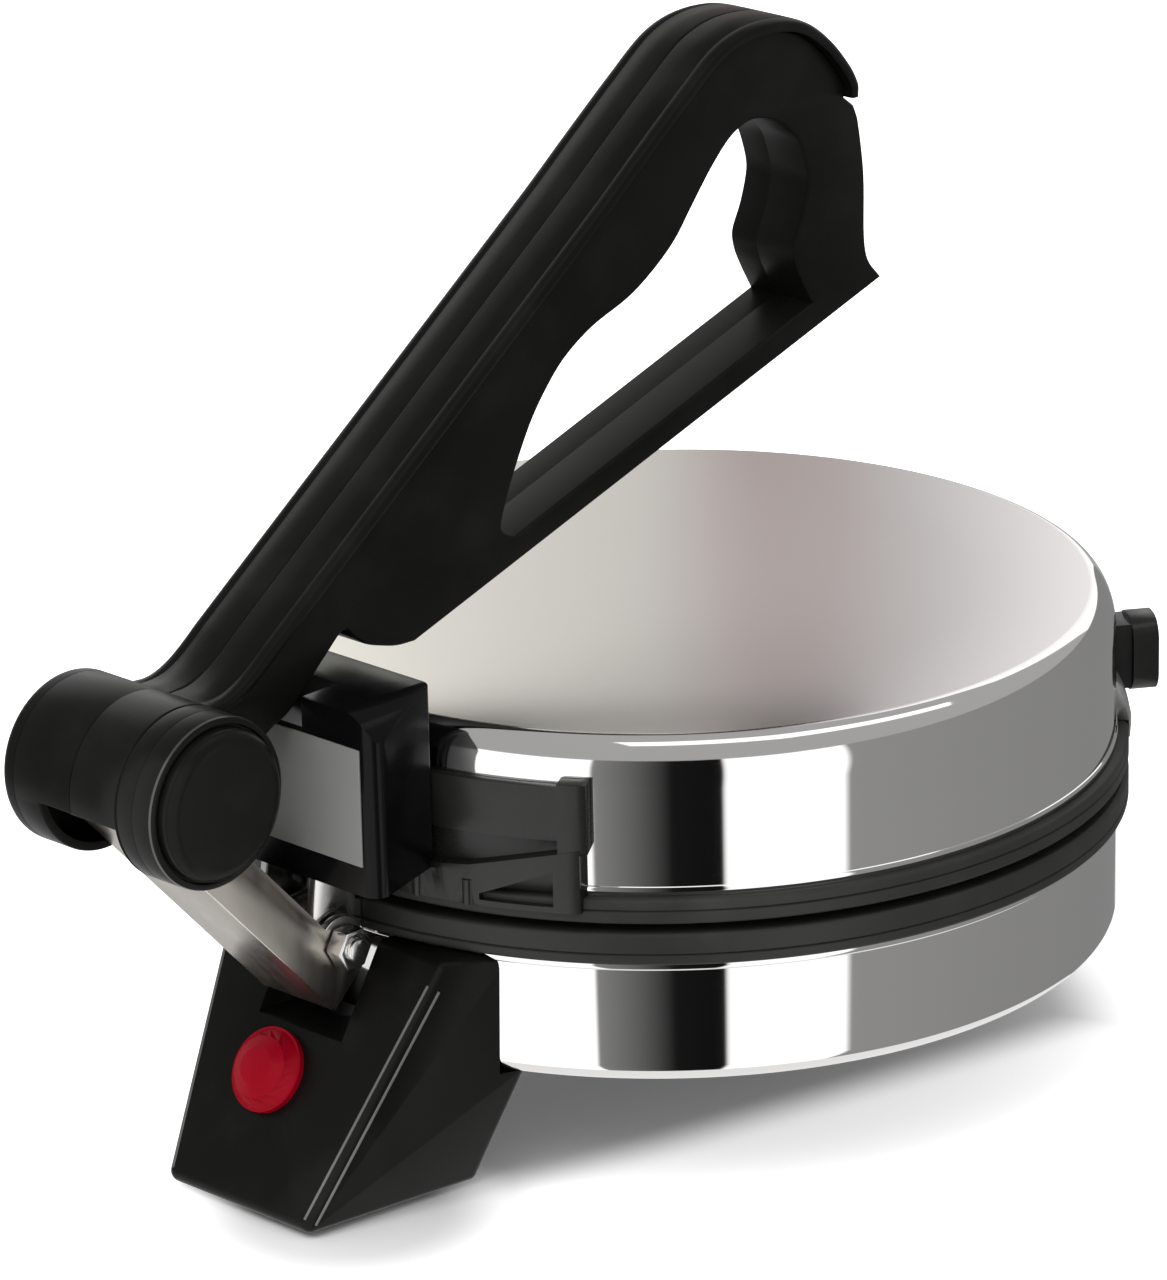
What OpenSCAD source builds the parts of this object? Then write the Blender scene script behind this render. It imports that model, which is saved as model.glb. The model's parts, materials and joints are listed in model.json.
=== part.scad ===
// Electric roti maker: a round press cooker with a hinged lid and a long lever handle.
// Millimetres. X runs from the hinge side (negative) to the front, Z is up,
// the origin is on the axis of the round body at the level of the feet.

/* [Round body] */
// Outer radius of the lower shell wall
shell_r = 118.9; // [105:0.1:130]
// How far the two plate rings stand out from the lower shell
ring_over = 3.1; // [1.6:0.1:6]
// Wall thickness of the pressed steel shells
shell_t = 1.0; // [0.8:0.1:1.6]
// Height of the flat bottom of the body above the floor
body_z = 34; // [28:0.5:50]
// Height of the straight wall of the lower shell
low_wall_h = 33.6; // [28:0.1:45]
// Radius of the bottom edge of the lower shell
low_edge_r = 5; // [3:0.5:10]
// Width of the flange turned in at the bottom
flange_w = 31; // [26:0.5:36]
// Thickness of the lower plate ring
low_ring_h = 8.7; // [7:0.1:12]
// Gap between the two rings when closed
ring_gap = 2.4; // [2:0.1:4]
// Thickness of the upper plate ring
up_ring_h = 6.7; // [6:0.1:10]
// Width of the ring's flat rim outside the plate
rim_w = 14; // [12:0.1:18]
// Width of the ledge that carries the plate
ledge_w = 8; // [4:0.5:12]
// Thickness of the ring's ledge
ledge_t = 2.4; // [2:0.1:3.5]
// Gap between plate edge and ring
plate_gap = 0.3; // [0.2:0.05:0.6]
// How far each baking plate stands proud of its ring
plate_proud = 0.3; // [0.1:0.1:0.8]

/* [Lid] */
// How much smaller the lid wall's radius is than the lower shell's
lid_under = 0.3; // [0:0.1:2]
// Height of the lid shell above its ring
lid_h = 40.9; // [36:0.1:55]
// Radial depth of the lid's shoulder
shoulder_w = 7; // [4:0.5:12]
// Height of the lid's shoulder
shoulder_h = 12.5; // [8:0.5:16]

/* [Heating parts] */
// Radius of the heating coil
coil_r = 70; // [55:1:85]
// Radius of the heating coil's tube
coil_tube = 3.3; // [2.5:0.1:4.5]
// Half of the open angle of the coil
coil_open = 15; // [12:1:24]
// Thickness of the reflector sheet
refl_t = 0.8; // [0.5:0.1:1.2]
// Depth of the reflector pan
refl_d = 7.6; // [7.2:0.1:10]
// How much smaller the reflector pan's radius is than the plate's
refl_in = 2; // [1:0.5:7]
// Thickness of the bottom cover
cover_t = 1.2; // [1:0.1:2]
// How far the bottom cover laps over the shell's flange
cover_lap = 4.1; // [3:0.1:7]
// Width of one vent slot in the bottom cover
vent_w = 4; // [3:0.5:6]
// Radius of the thermostat
stat_r = 12; // [8:0.5:15]
// Height of the thermostat
stat_h = 15; // [10:0.5:20]
// Height of the terminal block
term_h = 16; // [10:1:17]
// Width of a terminal block
term_w = 12; // [10:0.5:16]

/* [Hinge] */
// Distance of the hinge bolt from the rings' edge
hinge_out = 13; // [11:0.5:20]
// Height of the hinge bolt above the underside of the lower ring
hinge_up = 1.4; // [-1:0.1:4]
// Radius of the hinge bolt
bolt_r = 3; // [2.5:0.1:4]
// Running clearance of pins in their bores
run_c = 0.05; // [0.02:0.01:0.09]
// Radius of the eyes round the hinge bolt
eye_r = 7.5; // [6:0.5:8]
// Half distance from the middle to the inner face of a base lug
lug_y = 4.8; // [4:0.1:5.5]
// Thickness of the base lugs
lug_t = 2.4; // [2:0.1:2.8]
// Side play between the hinge plates
side_c = 0.4; // [0.3:0.05:0.5]
// Thickness of the lid ears
ear_t = 2.4; // [2:0.1:2.6]
// Size of the hinge nut across its corners
nut_d = 11.5; // [10:0.5:14]
// Thickness of the hinge nut
nut_t = 5; // [4:0.5:6]

/* [Link] */
// Distance between the link's two pins
link_len = 77.7; // [74:0.1:84]
// Angle of the link at rest, measured from the front
link_a = 132.8; // [128:0.2:138]
// Outer half width of the link channel
link_y = 13.2; // [12.8:0.1:14]
// Thickness of the link plate
link_t = 2.2; // [1.8:0.1:2.4]
// Distance of the link's web from the line of the pins
web_d = 14; // [13:0.2:15]
// How far the web runs past the hinge bolt
web_low = 11; // [6:0.2:12]
// How far the web runs past the handle axle
web_top = 8; // [5:0.5:9]

/* [Handle] */
// Outer radius of the handle barrel
barrel_r = 22; // [21.5:0.1:25]
// Wall of the handle barrel
barrel_t = 2.5; // [2:0.1:2.8]
// Half length of the handle barrel
barrel_y = 28; // [26:0.5:32]
// Thickness of the near end cap
cap_t = 7.7; // [6:0.1:9]
// How far the near end cap's disc stands out of the barrel
dome_h = 3; // [1:0.5:4]
// Thickness of the barrel's closed far end
end_t = 5; // [4:0.5:7]
// Rounding of the barrel ends
cap_edge = 3; // [1:0.5:4]
// Radius of the handle axle
axle_r = 4; // [3:0.1:5]
// Half length of the handle axle
axle_y = 24.5; // [24:0.1:25]
// Place of the seam between the two handle halves
seam_y = 2; // [0:0.5:4]
// Half width of the handle frame
frame_y = 11.5; // [10:0.5:12.5]
// Half width of the handle's top cover
cover_y = 14.3; // [13:0.1:17]
// Thickness of the handle's top cover
top_t = 3.5; // [2:0.1:4]
// Clearance round the link in the barrel's slot
slot_c = 0.6; // [0.4:0.1:0.8]
// Start of the slot in the barrel, in degrees
slot_a0 = 190; // [186:1:200]
// End of the slot in the barrel, in degrees
slot_a1 = 332; // [326:1:340]

/* [Hinge box] */
// How far the hinge box reaches over the lid's edge
box_in = 1.4; // [0.5:0.1:4]
// Depth of the hinge box, front to back
box_d = 27.8; // [24:0.1:32]
// Half width of the hinge box's front, at the lid
box_yf = 31; // [26:0.5:34]
// Half width of the hinge box's back
box_y = 37; // [34:0.5:42]
// Height of the hinge box's bottom above the upper ring
box_lift = 4.6; // [3:0.1:7]
// Height of the hinge box above the lid top
box_up = 12; // [8:0.1:14]
// Rounding of the hinge box's top along its sides
box_r = 10; // [6:0.5:12]
// Rounding of the hinge box's edges on the lid side
box_rf = 3; // [1:0.5:4]
// Rounding of the hinge box's back edges
box_rb = 4; // [2:0.5:5]
// Wall of the hinge box
box_t = 3.2; // [2:0.1:4]
// Depth of the recess under the handle arm in the box top
arm_cut = 7.9; // [7.6:0.1:9]
// Length of that recess from the back face
arm_cut_l = 13; // [12.5:0.5:18]
// How far the label plate sits below the middle of the box
label_drop = 0.6; // [0:0.1:2]
// Half width of the label plate
label_y = 33; // [24:0.5:34]
// Height of the label plate
label_h = 31; // [20:0.5:33]
// Thickness of the label plate
label_t = 0.6; // [0.4:0.1:1.2]
// Half angle of the saddle band that hugs the lid
saddle_a = 34.5; // [30:0.5:40]
// Thickness of the saddle band
saddle_t = 2.6; // [2:0.1:3.5]

/* [Feet] */
// Slope of the rear leg's front face, forward for each mm up
leg_lean = 0.62; // [0.56:0.005:0.66]
// Distance of the rear leg's toe from the shell
leg_reach = 46.1; // [42:0.1:50]
// Half width of the rear leg at the floor
leg_y0 = 25.8; // [24:0.1:30]
// Half width of the rear leg at its top
leg_y1 = 39.5; // [37:0.1:42]
// Rounding of the rear leg's edges
leg_r = 3; // [2:0.5:4]
// Half width of the link slot in the rear leg
leg_slot = 15.2; // [14.8:0.1:16.5]
// Depth of that slot's floor below the hinge bolt
slot_down = 25.5; // [22:0.5:27]
// Gap under a leg, filled by its rubber feet
foot_up = 0.8; // [0.5:0.1:1.5]
// Radius of a rubber foot
foot_r = 4.5; // [3.5:0.1:5]
// Half width of the front leg
front_y = 30; // [24:0.5:34]
// Sideways place of the indicator lens on the leg
lens_y = 4.5; // [-8:0.5:8]
// Height of the indicator lens above the floor
lens_up = 32.4; // [28:0.1:34]
// Radius of the indicator lens
lens_r = 11.25; // [9:0.25:13]
// Height of the lens dome
lens_h = 5; // [3:0.5:7]

/* [Lid knob] */
// Angle of the lifting knob round the lid, in degrees
knob_a = -35; // [-60:1:60]
// Height of the knob's centre above the lid ring
knob_up = 11; // [10:0.5:16]
// Reach of the knob from the lid wall
knob_d = 14; // [12:0.2:20]
// Height of the knob's grip
knob_h = 21; // [16:0.5:22]
// Width of the knob's grip
knob_w = 15; // [13:0.5:18]

/* [Hidden] */
$fn = 96;
e = 0.05;

// Radii and levels that follow the round body
ring_r = shell_r + ring_over;
lid_r = shell_r - lid_under;
pivot_x = ring_r + hinge_out;
leg_toe = shell_r + leg_reach;
ring_z0 = body_z + low_wall_h;
ring_z1 = ring_z0 + low_ring_h;
up_z0 = ring_z1 + ring_gap;
up_z1 = up_z0 + up_ring_h;
lid_z = up_z1 + lid_h;
pivot_z = ring_z0 + hinge_up;
slot_z = pivot_z - slot_down;
plate_r = ring_r - rim_w;
refl_r = plate_r - refl_in;
flange_r = shell_r - low_edge_r;
flange_in = shell_r - flange_w;
cover_r = flange_in + cover_lap;
low_plate_z = ring_z0 + ledge_t;
up_plate_z = up_z1 - ledge_t;
box_x0 = lid_r - box_in;
box_x1 = box_x0 + box_d;
box_z0 = up_z1 + box_lift;
box_z1 = lid_z + box_up;

// The handle axle, placed by the link
bx = -pivot_x + link_len * cos(link_a);
bz = pivot_z + link_len * sin(link_a);
eye_y0 = lug_y + lug_t + side_c;
pin_r = bolt_r + run_c;
web_i = web_d - link_t;

// The origin lies on the floor in the middle of the whole outline
mid_x = (bx - barrel_r + ring_r) / 2;
module put() {
  translate([-mid_x, 0, 0]) children();
}

// Points of the handle, in its own frame round the axle
back_pts = [[10.3, 19.4], [16.7, 19.9], [22, 21.9], [27.2, 25.2], [32.5, 29.2], [92, 71.5],
  [151.5, 114], [167.5, 126], [184.5, 138.5], [196.5, 146.5], [208, 149.8], [221, 149.5],
  [231, 146.5], [240, 140], [247.5, 131.5], [250.5, 126], [250.5, 122.5]];
front_pts = [[250.8, 119.5], [252.5, 115], [254.6, 100], [254.6, 83], [256, 76], [261, 70]];
nose_pts = [[84, 15.4], [78, 15.8], [72.5, 17.2], [67, 19.2], [63, 22], [59.5, 25],
  [53, 20], [46, 13.8], [39.5, 8.6], [33.5, 6], [18, -3]];
window_pts = [[211, 123.9], [218, 122.8], [223.5, 120.2], [229, 115], [232, 107.5],
  [232.8, 102], [230.4, 93.7], [227, 86.5], [227.5, 81.5], [230, 76], [233.9, 69.1],
  [121.1, 33.7], [116, 36.8], [118, 44], [121.8, 52.3], [127.2, 62], [132.5, 69],
  [139.8, 76.2], [150.2, 82.2], [164, 86.9], [173.4, 92], [181.7, 98.3], [188.3, 105.9],
  [196, 114.6], [203.5, 121.2]];

// Path moved sideways by d along its own normals
function unit(v) = v / norm(v);
function dir_at(p, i) = unit(p[min(i + 1, len(p) - 1)] - p[max(i - 1, 0)]);
function moved(p, d) = [for (i = [0:len(p) - 1]) p[i] + d * [dir_at(p, i)[1], -dir_at(p, i)[0]]];
function back_to_front(p) = [for (i = [len(p) - 1:-1:0]) p[i]];
cover_in = moved(back_pts, top_t);
// Quarter of an ellipse from the top edge to the wall, for the lid's shoulder
function shoulder(r, w, z, h) = [for (a = [90:-7.5:0]) [r - w + w * cos(a), z - h + h * sin(a)]];
// Quarter circle at the bottom of the lower shell
function low_edge(r, z, q) = [for (a = [0:-15:-90]) [r - q + q * cos(a), z + q + q * sin(a)]];

module tube_y(r, y0, y1) {
  translate([0, y0, 0]) rotate([-90, 0, 0]) cylinder(r = r, h = y1 - y0);
}
module slab_y(y0, y1) {
  translate([0, y1, 0]) rotate([90, 0, 0]) linear_extrude(height = y1 - y0) children();
}
module at_pivot() {
  translate([-pivot_x, 0, pivot_z]) children();
}
module at_axle() {
  translate([bx, 0, bz]) children();
}
module rounded(x0, x1, y0, y1, r, q) {
  translate([x0 + q, y0]) square([x1 - x0 - r - q, y1 - y0]);
  translate([x0, y0 + q]) square([q + e, y1 - y0 - 2 * q]);
  translate([x1 - r - e, y0 + r]) square([r + e, y1 - y0 - 2 * r]);
  for (y = [-1, 1]) {
    translate([x0 + q, (y0 + y1) / 2 + y * ((y1 - y0) / 2 - q)]) circle(r = q);
    translate([x1 - r, (y0 + y1) / 2 + y * ((y1 - y0) / 2 - r)]) circle(r = r);
  }
}

// Lower half of the body
module lower_shell() {
  outer = concat([[shell_r, ring_z0]], low_edge(shell_r, body_z, low_edge_r));
  inner = low_edge(shell_r - shell_t, body_z + shell_t, low_edge_r - shell_t);
  color("silver") put() difference() {
    rotate_extrude() polygon(concat(outer,
      [[flange_in, body_z], [flange_in, body_z + shell_t]],
      back_to_front(inner), [[shell_r - shell_t, ring_z0]]));
    leg_bolts(bolt_r - 0.5 + run_c);
    cover_bolts(1.5 + run_c);
  }
}
module lower_ring() {
  c = 1;
  color("dimgray") put() difference() {
    rotate_extrude() polygon([[plate_r - ledge_w, ring_z0], [shell_r + 0.2, ring_z0],
      [ring_r, ring_z0 + 2.9], [ring_r, ring_z1 - c], [ring_r - c, ring_z1],
      [plate_r, ring_z1], [plate_r, low_plate_z], [plate_r - ledge_w, low_plate_z]]);
    bracket_bolt(bolt_r - 0.5 + run_c);
  }
}
module lower_plate() {
  color("darkslategray") put() translate([0, 0, low_plate_z])
    cylinder(r = plate_r - plate_gap, h = ring_z1 + plate_proud - low_plate_z);
}
module heater(z, s, reach) {
  translate([0, 0, z]) rotate_extrude(angle = 360 - 2 * coil_open, start = 180 + coil_open)
    translate([coil_r, 0]) circle(r = coil_tube);
  for (a = [-coil_open, coil_open])
    rotate([0, 0, 180 + a * 1.03]) translate([coil_r, 0, z])
      translate([0, 0, s > 0 ? -2 : -reach]) cylinder(r = coil_tube - 0.7, h = reach + 2);
}
low_coil_z = low_plate_z - coil_tube;
up_coil_z = up_plate_z + coil_tube;
module lower_heater() {
  color("gray") put() heater(low_coil_z, -1, low_coil_z - body_z - term_h);
}
module reflector(z, s) {
  difference() {
    translate([0, 0, z]) mirror([0, 0, s > 0 ? 0 : 1]) rotate_extrude() polygon([[0, 0],
      [refl_r, 0], [refl_r, refl_d], [refl_r - refl_t, refl_d], [refl_r - refl_t, refl_t],
      [0, refl_t]]);
    for (a = [-coil_open, coil_open])
      rotate([0, 0, 180 + a]) translate([coil_r, 0, z - 5]) cylinder(r = coil_tube + 0.7, h = 10);
    if (s > 0) translate([0, 0, z - 5]) cylinder(r = stat_r + 0.5, h = 10);
  }
}
module lower_reflector() {
  color("silver") put() reflector(ring_z0 - refl_d, 1);
}
module bottom_cover() {
  color("silver") put() difference() {
    translate([0, 0, body_z - cover_t]) cylinder(r = cover_r, h = cover_t);
    for (k = [-3:3])
      translate([k * 3 * vent_w, 0, body_z - cover_t / 2])
        cube([vent_w, 36, 2 * cover_t], center = true);
    cover_bolts(1.5 + run_c);
  }
}
cover_hole = (cover_r + flange_in) / 2;
module cover_bolts(r) {
  for (a = [45:90:315])
    rotate([0, 0, a]) translate([cover_hole, 0, body_z - cover_t]) cylinder(r = r, h = 8);
}
module cover_screws() {
  color("gray") put() {
    cover_bolts(1.5);
    for (a = [45:90:315])
      rotate([0, 0, a]) translate([cover_hole, 0, body_z - cover_t - 1.6]) cylinder(r = 2.2, h = 1.6);
  }
}
module thermostat() {
  color("ivory") put() translate([0, 0, low_plate_z - stat_h]) cylinder(r = stat_r, h = stat_h);
}
module thermal_fuse() {
  color("white") put() translate([stat_r + 24, 0, ring_z0 - refl_d - 2.5])
    tube_y(2.5, -11, 11);
}
module terminals(z, h) {
  cx = coil_r * cos(coil_open);
  cy = coil_r * sin(coil_open) + 7;
  translate([-cx - term_w / 2, -cy, z]) cube([term_w, 2 * cy, h]);
}
module lower_terminals() {
  color("ivory") put() terminals(body_z, term_h);
}

// Legs
module leg_ball(x, y, z, r) {
  for (s = [-1, 1])
    translate([x, s * y, z]) sphere(r = r, $fn = 28);
}
leg_n = [-1 / norm([1, leg_lean]), leg_lean / norm([1, leg_lean])];
leg_top = ring_z0 - 0.6;
function leg_face(z) = -leg_toe + leg_lean * z;
function leg_half(z) = leg_y0 + (leg_y1 - leg_y0) * z / leg_top;
module leg_body() {
  q = leg_r / -leg_n[0];
  z0 = foot_up + leg_r;
  z1 = leg_top - leg_r;
  hull() {
    leg_ball(leg_face(z0) + q, leg_half(z0) - leg_r, z0, leg_r);
    leg_ball(leg_face(z1) + q, leg_half(z1) - leg_r, z1, leg_r);
    leg_ball(-shell_r + 8.5, leg_half(z0) + 4, z0, leg_r);
    leg_ball(-shell_r + 11, leg_half(z1) + 3.5, z1, leg_r);
    leg_ball(-shell_r + 14, leg_half(z1) + 4, body_z, leg_r);
  }
}
module leg_cavity() {
  difference() {
    hull() {
      leg_ball(leg_face(0) + 9.5, leg_half(0) - 4.5, -1, 0.6);
      leg_ball(-shell_r + 3.5, leg_half(0) + 0.5, -1, 0.6);
      leg_ball(leg_face(slot_z - 4) + 5, leg_half(slot_z - 4) - 5, slot_z - 4, 0.6);
      leg_ball(-shell_r - 5, leg_half(slot_z - 4) - 5, slot_z - 4, 0.6);
      leg_ball(-shell_r + 8, leg_half(slot_z - 4) + 1, body_z - 4.5, 0.6);
    }
    translate([0, 0, body_z - 3]) cylinder(r = shell_r + 2.6, h = 60);
  }
}
module at_lens() {
  translate([leg_face(lens_up), lens_y, lens_up]) rotate([0, -atan2(1, leg_lean), 0]) children();
}
rear_feet = [[-leg_toe + 12.5, 16.5], [-leg_toe + 40, 21]];
front_x0 = cover_r + 2;
front_x1 = flange_r + 3;
front_foot = [(front_x0 + front_x1) / 2, front_y - 9];
leg_hole = [-shell_r + 10.4, 20];
module foot_places() {
  for (p = rear_feet)
    for (s = [-1, 1])
      translate([p[0], s * p[1], 0]) children();
  for (s = [-1, 1])
    translate([front_foot[0], s * front_foot[1], 0]) children();
}
module leg_bolts(r) {
  for (s = [-1, 1]) {
    translate([leg_hole[0], s * leg_hole[1], body_z - 3.4]) cylinder(r = r, h = 8);
    translate([front_foot[0], s * 8, body_z - 3.4]) cylinder(r = r, h = 8);
  }
}
module rear_leg() {
  color("black") put() difference() {
    union() {
      difference() {
        leg_body();
        leg_cavity();
      }
      for (p = rear_feet)
        for (s = [-1, 1])
          translate([p[0], s * p[1], foot_up]) cylinder(r = foot_r + 1.6, h = 8);
    }
    translate([0, 0, body_z - e]) cylinder(r = shell_r + e, h = 60);
    translate([-leg_toe, -leg_slot, slot_z]) cube([leg_toe - shell_r + 8, 2 * leg_slot, 60]);
    at_lens() translate([0, 0, -15]) cylinder(r = lens_r - 3.2, h = 20);
    translate([0, 0, -1]) foot_places() cylinder(r = foot_r, h = 3 + foot_up);
    leg_bolts(bolt_r - 0.5 + run_c);
    for (s = [-1, 1])
      translate([leg_hole[0], s * leg_hole[1], -1]) cylinder(r = 4, h = body_z - 2.4);
  }
}
module front_leg() {
  q = 4;
  z0 = foot_up + q;
  color("black") put() difference() {
    intersection() {
      hull() {
        leg_ball(front_x0 + q + 1.5, front_y - q - 3, z0, q);
        leg_ball(front_x1 - q - 1.5, front_y - q - 3, z0, q);
        leg_ball(front_x0 + q, front_y - q, body_z, q);
        leg_ball(front_x1 - q, front_y - q, body_z, q);
      }
      translate([0, -front_y, 0]) cube([front_x1, 2 * front_y, body_z]);
    }
    translate([front_foot[0], 0, -1]) translate([-7, -14, 0]) cube([14, 28, body_z - 2.4]);
    translate([0, 0, -1]) foot_places() cylinder(r = foot_r, h = 3 + foot_up);
    leg_bolts(bolt_r - 0.5 + run_c);
  }
}
module leg_screws() {
  color("gray") put() {
    leg_bolts(bolt_r - 0.5);
    for (s = [-1, 1]) {
      translate([leg_hole[0], s * leg_hole[1], body_z - 6.4]) cylinder(r = 3.6, h = 3);
      translate([front_foot[0], s * 8, body_z - 6.4]) cylinder(r = 4.2, h = 3);
    }
  }
}
module rubber_feet() {
  color("darkgray") put() foot_places() cylinder(r = foot_r, h = 2 + foot_up);
}
module indicator_lens() {
  big = (lens_r * lens_r + lens_h * lens_h) / (2 * lens_h);
  color("red") put() at_lens() difference() {
    union() {
      cylinder(r = lens_r, h = 1.6);
      intersection() {
        translate([0, 0, 1.6 + lens_h - big]) sphere(r = big);
        translate([0, 0, 1.6]) cylinder(r = lens_r, h = lens_h + 1);
      }
      translate([0, 0, -7]) cylinder(r = lens_r - 3.2, h = 7);
    }
    translate([0, 0, -8]) cylinder(r = 4, h = 8);
  }
}
module neon_lamp() {
  color("orange") put() at_lens() translate([0, 0, -14]) cylinder(r = 4, h = 14);
}

// Hinge parts of the base
brk_x0 = -ring_r - 2.2;
module base_bracket() {
  color("lightsteelblue") put() difference() {
    union() {
      translate([brk_x0, -lug_y - lug_t, ring_z1 - 12]) cube([2.15, 2 * (lug_y + lug_t), 12]);
      for (y = [-lug_y - lug_t, lug_y])
        slab_y(y, y + lug_t) {
          translate([-pivot_x, pivot_z]) circle(r = eye_r);
          polygon([[-pivot_x, pivot_z + eye_r], [brk_x0 + 1, ring_z1],
            [brk_x0 + 1, ring_z1 - 11.5], [-pivot_x + 5, pivot_z - 5.3],
            [-pivot_x, pivot_z]]);
        }
    }
    at_pivot() tube_y(pin_r, -20, 20);
    bracket_bolt(bolt_r - 0.5 + run_c);
  }
}
module bracket_bolt(r) {
  translate([brk_x0 - 1, 0, (ring_z0 + ring_z1) / 2 + 0.6]) rotate([0, 90, 0]) cylinder(r = r, h = rim_w + 4);
}
module bracket_screw() {
  color("gray") put() {
    intersection() {
      bracket_bolt(bolt_r - 0.5);
      translate([brk_x0, -5, ring_z0]) cube([rim_w + 1, 10, 20]);
    }
    translate([brk_x0 - 2.5, 0, (ring_z0 + ring_z1) / 2 + 0.6]) rotate([0, 90, 0])
      cylinder(r = 4, h = 2.5);
  }
}
module hinge_bolt() {
  color("lightsteelblue") put() at_pivot() {
    tube_y(bolt_r, -link_y - side_c - nut_t - 1.2, link_y + side_c);
    translate([0, link_y + side_c + 3.6, 0]) rotate([90, 0, 0])
      cylinder(d = nut_d, h = 3.6, $fn = 6);
  }
}
module hinge_nut() {
  color("lightsteelblue") put() at_pivot() difference() {
    translate([0, -link_y - side_c, 0]) rotate([90, 0, 0]) cylinder(d = nut_d, h = nut_t, $fn = 6);
    tube_y(bolt_r, -30, 0);
  }
}

// Lid
module lid_solid(g) {
  rotate_extrude() polygon(concat([[0, up_z1], [0, lid_z + g]],
    shoulder(lid_r + g, shoulder_w, lid_z + g, shoulder_h), [[lid_r + g, up_z1]]));
}
module upper_shell() {
  t = shell_t;
  color("silver") put() difference() {
    rotate_extrude() polygon(concat([[0, lid_z - t], [0, lid_z]],
      shoulder(lid_r, shoulder_w, lid_z, shoulder_h),
      [[lid_r, up_z1], [lid_r - t, up_z1]],
      back_to_front(shoulder(lid_r - t, shoulder_w, lid_z - t, shoulder_h))));
    box_bolts(2 + run_c);
    knob_bolt(2 + run_c);
  }
}
module upper_ring() {
  c = 1;
  color("dimgray") put() rotate_extrude() polygon([[plate_r - ledge_w, up_z1], [ring_r - c, up_z1],
    [ring_r, up_z1 - c], [ring_r, up_z0 + c], [ring_r - c, up_z0], [plate_r, up_z0],
    [plate_r, up_plate_z], [plate_r - ledge_w, up_plate_z]]);
}
module upper_plate() {
  color("darkslategray") put() translate([0, 0, up_z0 - plate_proud])
    cylinder(r = plate_r - plate_gap, h = up_plate_z - up_z0 + plate_proud);
}
module upper_heater() {
  color("gray") put() heater(up_coil_z, 1, up_z1 + refl_d - up_coil_z);
}
module upper_reflector() {
  color("silver") put() reflector(up_z1 + refl_d, -1);
}
module upper_terminals() {
  color("ivory") put() terminals(up_z1 + refl_d, term_h - 6);
}
module box_bolts(r) {
  for (s = [-1, 1])
    translate([-lid_r - 6.4, s * 22, box_z0 + 9]) rotate([0, 90, 0]) cylinder(r = r, h = 22);
}
module box_plan(g) {
  hull()
    for (s = [-1, 1]) {
      translate([-box_x1 + box_rb, s * (box_y - box_rb)]) circle(r = max(box_rb + g, 0.3));
      translate([-box_x0 - box_rf, s * (box_yf - box_rf)]) circle(r = max(box_rf + g, 0.3));
    }
}
module box_end() {
  translate([-box_y, box_z0]) square([2 * box_y, box_z1 - box_z0 - box_r]);
  translate([-box_y + box_r, box_z0]) square([2 * (box_y - box_r), box_z1 - box_z0]);
  for (s = [-1, 1])
    translate([s * (box_y - box_r), box_z1 - box_r]) circle(r = box_r);
}
module hinge_box() {
  color("black") put() difference() {
    intersection() {
      translate([0, 0, box_z0]) linear_extrude(height = box_z1 - box_z0) box_plan(0);
      translate([-box_x1, 0, 0]) rotate([90, 0, 90]) linear_extrude(height = box_d) box_end();
    }
    lid_solid(e);
    translate([-box_x1 - 1, -frame_y - 1, box_z1 - arm_cut])
      cube([arm_cut_l + 1, 2 * frame_y + 2, arm_cut + 1]);
    translate([-lid_r - 6, -eye_y0 - ear_t - 2, box_z0 - 1])
      cube([12, 2 * (eye_y0 + ear_t + 2), 28]);
    difference() {
      translate([0, 0, box_z0 - 1]) linear_extrude(height = box_z1 - box_z0 + 1 - box_t - arm_cut)
        box_plan(-box_t);
      for (s = [-1, 1])
        translate([-lid_r - 8, s * 22, box_z0 + 9]) rotate([0, 90, 0]) cylinder(r = 5, h = 18);
    }
    box_bolts(2 + run_c);
  }
}
module box_screws() {
  color("gray") put() {
    intersection() {
      box_bolts(2);
      translate([-lid_r - 6.4, -30, box_z0]) cube([12.6, 60, 30]);
    }
    for (s = [-1, 1])
      translate([e - sqrt(pow(lid_r - shell_t, 2) - 25.6 * 25.6), s * 22, box_z0 + 9])
        rotate([0, 90, 0]) cylinder(r = 3.6, h = 3);
  }
}
module label_plate() {
  z = (box_z0 + box_z1) / 2 - label_drop;
  color("gainsboro") put() translate([-box_x1 - label_t, -label_y, z - label_h / 2])
    cube([label_t, 2 * label_y, label_h]);
}
module saddle_arc(a0, a1, r0, r1, z0, z1) {
  for (s = [0, 1])
    mirror([0, s, 0]) rotate_extrude(angle = a1 - a0, start = 180 + a0)
      translate([r0, z0]) square([r1 - r0, z1 - z0]);
}
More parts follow.
